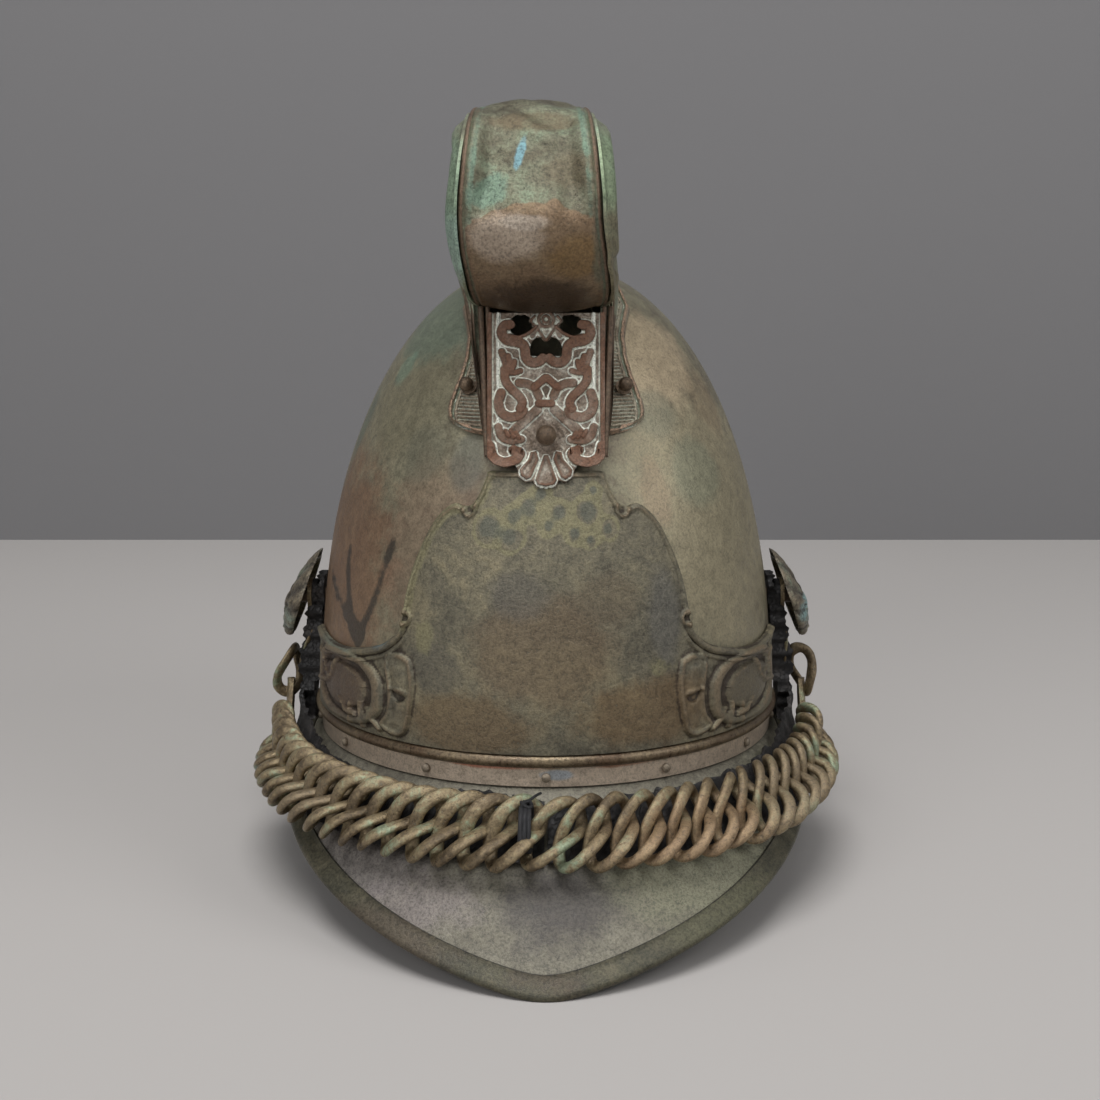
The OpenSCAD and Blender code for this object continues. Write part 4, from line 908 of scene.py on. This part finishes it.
grille_x = np.linspace(-20.5, 20.5, 178)
gx, gy = np.meshgrid(grille_x, np.linspace(-PALM_DROP, GRILLE_H, 270), indexing="ij")
ax = np.abs(gx)
relief = 0.12 + 0.1 * np.sin(gx * 2.3) * np.sin(gy * 2.1)
relief = np.maximum(relief, band(ax - 19.7, 0.8, 1.4) * (gy > 0.5))
relief = relief - band(ax - 17.9, 0.35, 0.5) * (gy > 3)
relief = np.maximum(relief, band(ax - 16.6, 0.3, 0.7) * (gy > 4))
scrolls = [
    ([(12.4, 44.3), (14.6, 43.8), (15.4, 41.2), (13.6, 38.9), (10.4, 38.2), (8.1, 37.4), (7.2, 35.2),
      (6.9, 32.8), (5.1, 31.1), (2.6, 31.4), (1.2, 32.6)], 1.65, 1.5),
    ([(14.4, 28.6), (14.1, 24.8), (11.9, 21.7), (9.4, 19.4), (8.2, 17.0), (9.0, 15.0)], 1.45, 1.5),
    ([(2.6, 19.4), (3.9, 22.0), (6.4, 23.6), (9.4, 24.0)], 1.45, 1.15),
    ([(15.6, 20.4), (16.5, 17.0), (15.4, 13.6), (12.4, 12.0), (9.2, 12.8), (8.0, 14.4)], 1.6, 1.3),
    ([(3.0, 14.7), (5.1, 12.8), (8.2, 10.0), (10.8, 7.7)], 1.6, 1.0),
    ([(19.6, 2.0), (18.3, -2.4), (14.6, -4.2), (10.6, -3.2), (9.2, -0.8), (11.2, 0.4)], 1.75, 1.5),
    ([(16.6, 8.6), (15.4, 5.2), (12.4, 3.8), (8.6, 4.3)], 1.3, 1.2),
    ([(14.0, 7.2), (13.0, 5.4)], 0.7, 1.5), ([(12.2, 7.4), (11.2, 5.2)], 0.7, 1.5),
    ([(10.4, 6.6), (9.4, 4.8)], 0.7, 1.5),
    ([(15.4, 34.8), (14.2, 31.6), (13.6, 28.8)], 1.2, 1.3),
    ([(13.2, 33.4), (12.6, 31.0), (13.0, 28.8)], 0.9, 1.5),
    ([(11.0, 31.4), (11.4, 29.6), (12.6, 28.4)], 0.9, 1.5),
    ([(8.9, 28.2), (10.6, 27.6), (12.4, 27.6)], 0.9, 1.4),
    ([(4.1, 22.4), (0.3, 25.7)], 1.25, 1.5),
    ([(3.4, 43.6), (6.3, 41.2), (9.5, 40.0), (12.9, 40.6)], 0.5, 1.6),
    ([(1.4, 44.2), (3.2, 43.0), (4.8, 40.4)], 0.7, 1.0),
    ([(4.0, 47.2), (5.2, 45.4), (3.2, 43.2), (0.0, 38.6)], 0.35, 1.3),
]
for points, width, high in scrolls:
    relief = np.maximum(relief, curve(ax, gy, points, width, high))
bar = np.hypot(np.maximum(np.abs(gx + 0.3) - 2.2, 0), gy - 16.8)
relief = np.maximum(relief, band(bar, 1.25, 1.5))
knob = np.hypot(gx, gy - 46.2)
relief = np.maximum(relief, band(knob - 2.6, 0.5, 1.2))
relief = np.maximum(relief, band(knob - 1.2, 0.4, 1.2))
petals = [
    [(-0.9, -1.2), (-4.0, -10.4), (-3.0, -12.4), (0, -13.0), (3.0, -12.4), (4.0, -10.4), (0.9, -1.2)],
    [(3.2, 0.4), (2.2, -3.2), (5.0, -9.8), (6.9, -10.6), (9.0, -9.0), (9.4, -6.6), (6.2, -2.8), (5.6, -0.2)],
]
for petal in petals:
    deep = np.maximum(depth_in(gx, gy, petal), depth_in(-gx, gy, petal))
    relief = np.maximum(relief, 1.3 * ease((deep + 0.1) / 0.6) - 0.55 * ease((deep - 0.9) / 0.8))
eyes = np.hypot((ax - 8.6) / 4.3, (gy - 44.2) / 3.7) < 1
bell_edge = [(-1, 38.4), (0.2, 38.4), (1.6, 40.0), (3.4, 39.7), (4.9, 38.2), (5.5, 35.8), (5.2, 33.6),
             (-1, 33.4)]
bell = depth_in(ax, gy, bell_edge) > 0
foot_edge = [(-1, 1), (22, 1), (20.6, -2.6), (18.2, -5.2), (14.6, -6.2), (10.6, -5.4), (9.9, -6.6),
             (9.6, -9.2), (7.0, -11.2), (4.6, -10.6), (3.4, -12.8), (0, -13.3), (-1, -13.3)]
beyond = (gy < 0) & (depth_in(ax, gy, foot_edge) < 0)
gone = (eyes | bell) & (relief < 0.9) | beyond
raised = blurred((relief > 0.6) * 1.0, 9)
lime = np.clip(raised * 2.8, 0, 1) * (relief < 0.75)
points = stand(on_grille(gx, gy, 0.7 + relief))
index = np.arange(gx.size).reshape(gx.shape)
quads = np.stack([index[:-1, :-1], index[1:, :-1], index[1:, 1:], index[:-1, 1:]], -1)
kept = ~(gone[:-1, :-1] | gone[1:, :-1] | gone[1:, 1:] | gone[:-1, 1:])
grille = body_of("comb_front_scrollwork", points, quads[kept].tolist(), sharp=60,
                 relief=0.3 + relief * 0.36, lime=lime)
thicken = grille.modifiers.new("thickness", "SOLIDIFY")
thicken.thickness = GRILLE_T / 1000
thicken.offset = -1
brass_grille = patina("worn grille", [(78, 66, 54), (108, 96, 84), (146, 140, 128)], blotch=170,
                      coats=[("lime", (204, 206, 196), 0.92)], rubbed=(88, 56, 38), metal=0.5, rough=0.34,
                      bump=0.5, specks=0.6, lift=1.45, grain=0.24)
fit(grille, "helmet", "grille_brass", brass_grille, "comb_front_grille")

# Screws with ball heads hold the comb: one in the grille, one in each flange and one in the
# tail. Each is turned brass with a collar, a neck and a ball.
BALL_R = 3.6
SIDE_BALL_R = 2.6
SIDE_SCREW_X = 26.0


def turned(name, centre, axis, profile, sides=40, **marks):
    axis = unit(np.asarray(axis, float))
    aside = unit(np.cross(axis, [0.3, 1.0, 0.2]))
    other = np.cross(axis, aside)
    a = full_turn(sides)[None, :, None]
    profile = np.asarray(profile, float)
    r = profile[:, 0][:, None, None]
    up = profile[:, 1][:, None, None]
    rings = centre + axis * up + r * (np.cos(a) * aside + np.sin(a) * other)
    return loft(name, rings, **marks)


def skull_normal(p):
    r = math.hypot(p[0] / HALF_W, p[1] / HALF_L)
    k = r ** (FULL - 2)
    flat = [k * p[0] / HALF_W ** 2, k * p[1] / HALF_L ** 2, (p[2] / CROWN) ** (FULL - 1) / CROWN]
    return unit(np.array(flat))


def screw_profile(r):
    turns_up = np.linspace(0.75, math.pi - 0.03, 16)
    ball = [(r * math.sin(t), r * 1.1 - r * math.cos(t)) for t in turns_up]
    return [(0.01, -3.5), (1.8, -3.5), (1.8, 0.0), (2.9, 0.0), (2.9, 0.5), (2.0, 0.7)] + ball


side_psi = -psi_at(GRILLE_Z + 25)
tail_spot = beside(psi_at(TAIL_Z - 12), 0.0)
brass_screw = patina("dull brass screws", [(70, 58, 46), (92, 76, 60), (110, 94, 76)], blotch=140,
                     metal=0.5, rough=0.36, bump=0.5, specks=0.5)
grille_out = np.array([0, -math.cos(grille_turn), math.sin(grille_turn)])
screws = {"front": (on_grille(0.0, 4.9 + SEAT, 0.0), grille_out, 1.9, BALL_R)}
for hand, name in SIDES:
    spot = beside(side_psi, hand * SIDE_SCREW_X)
    screws[name] = (spot, skull_normal(spot), 2.95, SIDE_BALL_R)
screws["rear"] = (tail_spot, skull_normal(tail_spot), 2.35, SIDE_BALL_R)
for name, (spot, axis, seat, r) in screws.items():
    screw = turned("comb_ball_screw_" + name, spot + axis * seat, axis, screw_profile(r))
    fit(screw, "helmet", "trim_brass", brass_screw, "comb_screw_" + name)
for name in ("comb_nuts", "comb_tail", "rosette_nuts", "rosette_stud_left", "rosette_stud_right"):
    recolour(name, brass_screw)

# Chin chain: twisted curb links of flattened wire, laid flat on the front peak and sewn to a
# strip of leather. Each link dives through the next and comes up beyond it.
WIRE_R = 2.0
LINK_HALF_W = 11.8
PITCH = 9.3
TWIST = 40.0
SIDE_LINKS = 18
CHAIN_GAP = 8.0
BACKING_T = 1.5
BACKING_W = 27.0
link_half_l = PITCH / 2 + WIRE_R + 0.25
twist_a = math.radians(TWIST)
link_half_t = LINK_HALF_W * math.sin(math.pi / 4) * math.sin(twist_a * math.cos(math.pi / 4)) + WIRE_R + SEAT
LIFT = BIND_GAP + BIND_T + SEAT + BACKING_T + SEAT + link_half_t
END_TURN = 92.0
FIRST_AND_STEP = {"left": (10.6, 9.43), "right": (2.8, 9.88)}
LINK_LEAN = {"left": 0.34, "right": 0.5}
WIRE_WIDE = {"left": 2.5, "right": 2.1}
WIRE_FLAT = 1.5
chance = np.random.default_rng(7)


def peak_slope(phi):
    out, low = front_edge(min(abs(phi), 76.0))
    return math.atan2(ROOT_Z - low, out)


def lie_point(phi):
    d = 22 - 6 * min(1, abs(phi) / END_TURN) ** 3
    g = peak_slope(phi)
    return rim(phi, d, ROOT_Z - d * math.tan(g) + LIFT / math.cos(g))


path_phi = np.arange(0, END_TURN + 4, 2.0)
path_points = np.array([lie_point(p) for p in path_phi])
path_s = np.concatenate([[0], np.cumsum(np.linalg.norm(np.diff(path_points, axis=0), axis=1))])


def path_frame(s):
    phi = math.copysign(float(np.interp(abs(s), path_s, path_phi)), s)
    along = unit(lie_point(phi + 0.5) - lie_point(phi - 0.5))
    f = max(0, (abs(phi) - 62) / (END_TURN - 62))
    g = peak_slope(phi)
    g = g + (math.radians(82) - g) * f * f * (3 - 2 * f)
    v = rim(phi, 1.0, 0.0) - rim(phi, 0.0, 0.0)
    w = np.array([-math.cos(g) * v[0], -math.cos(g) * v[1], math.sin(g)])
    w = unit(w - (w @ along) * along)
    return lie_point(phi), along, w, np.cross(along, w)


def link_rings(place, half_l, half_w, wide_r, flat_r, lean, twist=twist_a):
    a = full_turn(60)[:, None]
    tw = -twist * np.cos(a)
    across = half_w * np.sin(a)
    line = np.concatenate([half_l * np.cos(a), across * np.cos(tw), across * np.sin(tw)], 1)
    line[:, 0] += lean * line[:, 1]
    run = unit(np.roll(line, -1, 0) - np.roll(line, 1, 0))
    face = np.concatenate([0 * a, -np.sin(tw), np.cos(tw)], axis=1)
    wide = unit(np.cross(run, face))
    face = np.cross(wide, run)
    b = full_turn(16)[None, :, None]
    wear = 1 + 0.06 * np.sin(a * 3 + chance.uniform(0, 6)) + 0.04 * np.sin(a * 7 + chance.uniform(0, 6))
    flat = np.sign(np.cos(b)) * np.abs(np.cos(b)) ** 0.75
    rings = line[:, None] + wide_r * wear[:, None] * flat * wide[:, None]
    rings = rings + flat_r * np.sin(b) * face[:, None]
    o, along, w, out = place
    return o + rings[..., :1] * along + rings[..., 1:2] * w + rings[..., 2:] * out


chain_zones = {
    "left": [floor_spot(-112, -30, 30, (10, 30, 8), (112, 138, 128), 0.5),
             floor_spot(-62, -124, 20, (26, 14, 5), (112, 138, 126), 0.6),
             floor_spot(-86, -90, 40, (18, 18, 8), (104, 92, 74), 0.6)],
    "right": [floor_spot(50, -118, 40, (40, 30, 14), (116, 96, 74), 0.6),
              floor_spot(88, -74, 40, (24, 34, 20), (100, 88, 70), 0.6)],
}
chain_tones = [(66, 56, 42), (88, 76, 58), (106, 94, 72), (104, 112, 92)]
chain_brass = {}
for hand, name in SIDES:
    first, step = FIRST_AND_STEP[name]
    links = []
    for k in range(SIDE_LINKS):
        s = first + k * step
        o, along, w, out = path_frame(hand * s)
        tip = chance.normal(0, 0.05)
        along, w = along * math.cos(tip) + w * math.sin(tip), w * math.cos(tip) - along * math.sin(tip)
        lean = LINK_LEAN[name] * ease((150 - s) / 60) + chance.normal(0, 0.03)
        half_w = LINK_HALF_W * (1 - 0.16 * ease((s - 95) / 50))
        place = (o, along, w, out)
        rings = link_rings(place, link_half_l + 0.6, half_w, WIRE_WIDE[name], WIRE_FLAT, lean)
        links.append((rings, True))
    chain_brass[name] = patina("dull chain brass " + name, chain_tones, blotch=70, zones=chain_zones[name],
                               metal=0.5, rough=0.34, bump=0.6, specks=0.8, lift=1.98, grain=0.22)
    chain = joined("curb_links_" + name, links)
    fit(chain, "chin_chain", "chain_brass", chain_brass[name], "chain_links_" + name)

# Leather of the chin chain: a black strip behind each half, dry, cracked and frayed at its
# edges. Beyond the last link it runs up to the stud. The end links are sewn to it.
LEG_W = 11.0
LEATHER_PER_M = 90
link_end = link_half_l + WIRE_R + LEG_W
backing_s = CHAIN_GAP / 2 + link_half_l + WIRE_R + (SIDE_LINKS - 1) * PITCH + link_end


def leather(name, tones, bump=0.6, crack=220.0):
    finish, tree = blank(name)
    where = add(tree, "TexCoord", {}).outputs["Object"]
    wide = noise(tree, where, LEATHER_PER_M, detail=8, rough=0.7)
    bent = sums(tree, "MULTIPLY", noise(tree, where, crack * 2, detail=4, rough=0.7), 0.004)
    moved = add(tree, "VectorMath", {0: where, 1: bent}, operation="ADD").outputs[0]
    cells = add(tree, "TexVoronoi", {"Vector": moved, "Scale": crack}, feature="DISTANCE_TO_EDGE")
    lines = between(tree, cells.outputs["Distance"], 0.10, 0.02)
    colour = shades(tree, wide, 0.36, 0.64, tones)
    colour = blend(tree, sums(tree, "MULTIPLY", lines, 0.5), colour, tone(20, 18, 17))
    height = sums(tree, "MULTIPLY_ADD", lines, -0.7, wide)
    bumps = add(tree, "Bump", {"Height": height, "Strength": bump, "Distance": 0.0008}).outputs["Normal"]
    dull = remap(tree, wide, 0, 1, 0.45, 0.8)
    close(tree, {"Base Color": colour, "Roughness": dull, "Normal": bumps})
    return finish


black_leather = leather("dry black leather", [(24, 22, 22), (38, 36, 36), (66, 62, 60)], bump=0.9, crack=500)
for name in ("rosette_spacer_left", "rosette_spacer_right"):
    recolour(name, black_leather)


def ragged_edge(count, size):
    rough = chance.normal(0, 1, count + 24)
    kernel = hump(np.linspace(-2, 2, 9), 0, 1)
    return np.convolve(rough, kernel / kernel.sum(), "same")[12:-12] * size


spacer_x = float(wall(90, STUD_Z - 6.6)[0]) + 0.1
for hand, name in SIDES:
    s = np.linspace(0.6, backing_s, 260)
    high = BACKING_W / 2 + 1.6 + ragged_edge(260, 1.4) + 2.2 * hump(s, 24, 14) * (hand < 0)
    low = -7.5 + ragged_edge(260, 0.6) - 1.5 * ease((s - 120) / 40)
    v = np.linspace(0, 1, 14)
    strip = []
    for k, place in enumerate(s):
        o, along, w, out = path_frame(hand * place)
        width = low[k] + (high[k] - low[k]) * v
        rise = -link_half_t - SEAT + 0.3 * np.sin(place * 0.7 + v * 9) + 1.6 * ease((v - 0.72) / 0.28)
        rise = np.stack([rise, rise - BACKING_T])
        strip.append(o + width[None, :, None] * w + rise[..., None] * out)
    strip = np.array(strip)
    up = np.linspace(-14, STUD_Z + 9, 90)[:, None]
    v = np.linspace(-1, 1, 14)
    wide = 7.0 + ragged_edge(90, 1.2)[:, None]
    skin_x = np.maximum(wall(90, np.maximum(up - 3, 0))[..., 0] + 0.8, (HALF_W + 3.4) * (up < 5))
    reach = spacer_x + 2.2 + 7.5 * (1 - ease((up + 14) / 50)) + 0.6 * np.sin(up * 0.8)
    reach = reach + 0.4 * np.sin(up * 2.1 + v * 4)
    reach = reach + 5.0 * ease((up + 2) / 16) * (1 - ease((up - STUD_Z + 8) / 12))
    tab = xyz(hand * reach, STUD_Y + wide * v, up)
    tab_in = xyz(hand * np.minimum(skin_x, reach - 1.6), STUD_Y + wide * v, up)
    parts = [(sheet_rings(strip[:, 0], strip[:, 1]), False), (sheet_rings(tab, tab_in), False)]
    backing = joined("chain_backing_" + name, parts)
    fit(backing, "chin_chain", "black_leather", black_leather, "chain_leather_" + name)

# Tie: turns of waxed black thread round the first links of both halves, with a knot and two
# loose ends.
THREAD_R = 0.8
LOOP_HALF_W = 8.2
LOOP_HALF_T = 4.6
KNOT_W = 8.6
KNOT_OUT = 3.4
LOOSE_ENDS = ((0.5, 9), (-0.7, 7))
thread = leather("waxed thread", [(18, 18, 20), (28, 28, 31), (44, 43, 46)], bump=0.5, crack=900)
o, along, w, out = path_frame(-7.0)
a = np.linspace(0, 10 * math.pi, 260)
wrap = o + (a / 9 - 1.9 + 0.5 * np.sin(a * 0.5))[:, None] * along
wrap = wrap + (LOOP_HALF_W * np.cos(a) + 1.5)[:, None] * w + (LOOP_HALF_T * np.sin(a) + 0.6)[:, None] * out
knot_a = np.linspace(0, 4 * math.pi, 60)
knot = o + (1.8 * np.cos(knot_a))[:, None] * along + (KNOT_W + 1.2 * np.sin(knot_a * 1.5))[:, None] * w
knot = knot + (KNOT_OUT + 1.2 * np.sin(knot_a))[:, None] * out
ends = []
for turn, length in LOOSE_ENDS:
    t = np.linspace(0, 1, 16)[:, None]
    rise = KNOT_OUT - 3 * t * t
    ends.append(o + (turn * length * t) * along + (9.5 + length * 0.6 * t) * w + rise * out)
threads = [tube(wrap, THREAD_R), tube(knot, 0.7)] + [tube(e, 0.5) for e in ends]
ties = joined("chain_thread_tie", [(t, False) for t in threads])
fit(ties, "chin_chain", "thread", thread, "chain_tie")

# End plates: an eye on the stud behind each rosette, two flat rings that hang from it, and a
# leaf, which carries the chain's last link.
END_T = 1.6
EYE_IN = 3.6
EYE_OUT = 6.9
RING_HALF_L = 5.4
RING_TILT = 0.2
end_x = spacer_x + 5.1
rosette_x = end_x + END_T + 0.1
foot_o = path_frame(backing_s)[0]


def ring_frame(hand, x, z, tilt, turn):
    w = np.array([-hand * math.sin(tilt), 0.0, math.cos(tilt)])
    aside = math.sin(turn)
    along = np.array([hand * aside * math.cos(tilt), -math.cos(turn), aside * math.sin(tilt)])
    along = unit(along - (along @ w) * w)
    return np.array([hand * x, STUD_Y, z]), along, w, np.cross(along, w)


for hand, name in SIDES:
    a = full_turn(40)
    eye = []
    for r, x in ((EYE_IN, 0), (EYE_IN, END_T), (EYE_OUT, END_T), (EYE_OUT, 0)):
        eye.append(xyz(hand * (end_x + x), STUD_Y + r * np.cos(a), STUD_Z + r * np.sin(a)))
    eye = np.array(eye).transpose(1, 0, 2)
    down = np.linspace(0, 1, 40)[:, None]
    v = np.linspace(-1, 1, 13)
    half = 0.8 + 5.2 * np.sqrt(np.clip(down, 0, 1)) * (1 - 0.25 * down)
    x = foot_o[0] - 1.2 - 1.0 * (1 - down) + 1.2 * (1 - v ** 2)
    leaf = xyz(hand * x, STUD_Y - 1 + half * v - 7 * down ** 2, 5 - 22 * down)
    leaf = sheet_rings(leaf, leaf - [hand * END_T, 0, 0])
    upper_place = ring_frame(hand, end_x + 0.5, STUD_Z - 19.5, RING_TILT, turn=0.3)
    upper = link_rings(upper_place, RING_HALF_L, half_w=10.5, wide_r=2.4, flat_r=0.8, lean=0, twist=0.25)
    lower_place = ring_frame(hand, foot_o[0] - 2.0, 8.0, RING_TILT, turn=0.7)
    lower = link_rings(lower_place, RING_HALF_L, half_w=9.3, wide_r=2.2, flat_r=1.2, lean=0, twist=0.4)
    parts = [(eye, True), (upper, True), (lower, True), (leaf, False)]
    chain_end = joined("chain_end_leaf_" + name, parts)
    fit(chain_end, "chin_chain", "chain_brass", chain_brass[name], "chain_end_" + name)

# Rosettes: pressed bosses with lobes and a hollow back, held on the studs over the ends of
# the chain. The chain's weight has tipped them a little.
ROSETTE_R = 18.5
ROSETTE_H = 9.0
PETALS = 10
KNOB = 0.22
TIPPED = math.radians(19)
rosette_zones = [
    floor_spot(-110, 0, 84, (16, 26, 5), (132, 150, 138), 0.5),
    floor_spot(106, 0, 88, (8, 26, 6), (134, 168, 168), 0.6),
]
rosette_tones = [(70, 64, 54), (88, 80, 68), (102, 94, 80), (108, 114, 98)]
brass_rosette = patina("pressed brass rosette", rosette_tones, blotch=90, zones=rosette_zones,
                       rubbed=(118, 108, 90), dirt_and_shade=(56, 52, 46), metal=0.48, rough=0.36, bump=0.7,
                       lift=1.25, grain=0.3)
for hand, name in SIDES:
    a = full_turn(160)
    lobes = 0.5 + 0.5 * np.cos(a * PETALS)
    r = np.concatenate([[0.02], np.linspace(0.06, 1, 30)])[:, None]
    outline = ROSETTE_R * (0.93 + 0.07 * np.sqrt(lobes))
    height = ROSETTE_H * np.sqrt(np.clip(1.02 - r ** 2.2, 0, 1)) * 0.86
    height = height + ease((r - 0.3) / 0.2) * ease((1.02 - r) / 0.3) * (lobes - 0.5) * 1.1
    hammered = 0.45 * np.sin(a * 7 + r * 9) * np.sin(r * 14 - a * 3)
    height = height + hammered * ease((r - 0.25) / 0.2) * ease((1 - r) / 0.2)
    height = height + ridge(r - 0.3, 0.08, 1.0) - ridge(r - 0.78, 0.06, 0.6) * lobes
    height = height + np.where(r < KNOB, 2.0 * np.sqrt(np.clip(1 - (r / KNOB) ** 2, 0, 1)), 0)
    face = xyz(height, outline * r * np.cos(a), outline * r * np.sin(a))
    back = face - [1.0, 0, 0]
    back[..., 0] = np.maximum(back[..., 0], 0)
    marks = 0.5 + (np.broadcast_to(lobes, height.shape) - 0.5) * 0.5 * (r > 0.3)
    rings = np.concatenate([face, back[::-1]])
    x = rings[..., 0] * math.cos(TIPPED) - rings[..., 2] * math.sin(TIPPED)
    z = rings[..., 2] * math.cos(TIPPED) - rings[..., 0] * math.sin(TIPPED)
    rings = xyz(hand * (x + rosette_x + 0.4), rings[..., 1] + STUD_Y, z + STUD_Z + 1.5)
    boss = loft("rosette_boss_" + name, rings, relief=np.concatenate([marks, marks[::-1]]))
    fit(boss, "helmet", "trim_brass", brass_rosette, "rosette_" + name)

# Liner: a band of brown leather inside the rim, eight tongues sewn to it and a cotton lace
# that draws their tips together under the crown.
BAND_T = 2.0
BAND_H = 32.0
BAND_IN = SHEET + 0.9
TONGUES = 8
LINER_H = 142.0
TIP_TURN = 80
LACE_TURN = 76.0
LACE_R = 1.1
TONGUE_T = 1.4
brown_leather = leather("brown leather", [(52, 38, 28), (70, 52, 38), (88, 66, 48)], bump=0.4, crack=300)
z = np.linspace(0, BAND_H, 16)
wave = 0.25 * np.sin(np.radians(turns[:, None] * 6)) * np.sin(z / 9)
band_out = wall(turns[:, None], z, -BAND_IN)
band_in = wall(turns[:, None], z, -BAND_IN - BAND_T + wave)
headband = loft("leather_headband", sheet_rings(band_out, band_in), closed=True)
fit(headband, "helmet", "brown_leather", brown_leather, "headband")
LINER_IN = BAND_IN + BAND_T + SEAT + 0.5
tongue_start = math.degrees(math.asin((BAND_H * 0.35 / LINER_H) ** (FULL / 2)))


def liner(phi, turn, off=0.0):
    t = np.radians(turn)
    r = np.cos(t) ** (2 / FULL)
    x = (HALF_W - LINER_IN + off) * r * np.sin(np.radians(phi))
    y = -(HALF_L - LINER_IN + off) * r * np.cos(np.radians(phi))
    return xyz(x, y, (LINER_H + off) * np.sin(t) ** (2 / FULL))


tongues = []
v = np.linspace(-1, 1, 15)
for j in range(TONGUES):
    turn = np.linspace(tongue_start, TIP_TURN, 40)[:, None]
    half = 360 / TONGUES * 0.42 * (1 - 0.12 * ease((turn - 40) / 40))
    phi = 360 * (j + 0.5) / TONGUES + half * v
    slack = -0.6 * (1 - v ** 2) * ease(turn / 30)
    rings = sheet_rings(liner(phi, turn, slack), liner(phi, turn, slack - TONGUE_T))
    tongues.append((rings, False))
tongue_set = joined("liner_tongue_set", tongues)
fit(tongue_set, "helmet", "brown_leather", brown_leather, "liner_tongues")
lace_phi = np.linspace(0, 360, 120, endpoint=False)
lace_line = liner(lace_phi, LACE_TURN, -TONGUE_T - 2.4)
cotton = leather("cotton lace", [(140, 124, 92), (158, 142, 110), (172, 158, 128)], bump=0.4, crack=1200)
lace = joined("drawn_lace", [(tube(lace_line, LACE_R, closed=True), True)])
fit(lace, "helmet", "lace", cotton, "liner_lace")

# Studio: a pale floor, a plain grey wall and broad soft lamps overhead. The wall is clear
# from its back, so that the helmet can be seen from behind too.
WALL_Y = 0.495
WALL_H = 2
REACH = 3


def plain(name, colour):
    finish, tree = blank(name)
    skin = add(tree, "BsdfPrincipled", {"Base Color": tone(*colour), "Roughness": 0.9})
    clear = add(tree, "BsdfTransparent", {})
    from_back = add(tree, "NewGeometry", {}).outputs["Backfacing"]
    either = add(tree, "MixShader", {0: from_back, 1: skin.outputs[0], 2: clear.outputs[0]})
    add(tree, "OutputMaterial", {"Surface": either.outputs[0]})
    return finish


def stage_plane(name, corners, finish):
    mesh = bpy.data.meshes.new(name)
    mesh.from_pydata(corners, [], [(0, 1, 2, 3)])
    ob = bpy.data.objects.new(name, mesh)
    bpy.context.scene.collection.objects.link(ob)
    mesh.materials.append(finish)


pale = plain("pale floor", (176, 172, 169))
floor = [(-REACH, -REACH, 0), (REACH, -REACH, 0), (REACH, REACH, 0), (-REACH, REACH, 0)]
stage_plane("floor", floor, pale)
grey = plain("grey wall", (121, 120, 121))
backdrop = [(-REACH, WALL_Y, 0), (REACH, WALL_Y, 0), (REACH, WALL_Y, WALL_H), (-REACH, WALL_Y, WALL_H)]
stage_plane("backdrop", backdrop, grey)


def lamp(name, place, aim, size, power):
    light = bpy.data.lights.new(name, "AREA")
    light.shape = "DISK"
    light.size = size
    light.energy = power
    ob = bpy.data.objects.new(name, light)
    bpy.context.scene.collection.objects.link(ob)
    ob.location = place
    ob.rotation_euler = (Vector(aim) - Vector(place)).to_track_quat("-Z", "Y").to_euler()


lamp("overhead", (-0.1, -0.4, 1.45), (0, 0, 0.1), size=0.9, power=15.5)
lamp("front fill", (-0.8, -1.3, 0.8), (0, 0, 0.15), size=1.0, power=6)
lamp("right side", (1.1, -0.5, 0.9), (0, 0, 0.15), size=0.8, power=5)
world = bpy.data.worlds.new("studio")
bpy.context.scene.world = world
world.use_nodes = True
sky = world.node_tree.nodes["Background"].inputs
sky["Color"].default_value = (0.8, 0.82, 0.85, 1)
sky["Strength"].default_value = 0.34
camera = bpy.data.cameras.new("camera")
camera.lens = 57.76
camera.sensor_width = 36
camera.shift_x = 0.0036
eye = bpy.data.objects.new("camera", camera)
bpy.context.scene.collection.objects.link(eye)
eye.location = (0, -0.6836, 0.2758)
eye.rotation_euler = (math.radians(76.5), 0, 0)
bpy.context.scene.camera = eye
bpy.context.scene.view_settings.view_transform = "Standard"
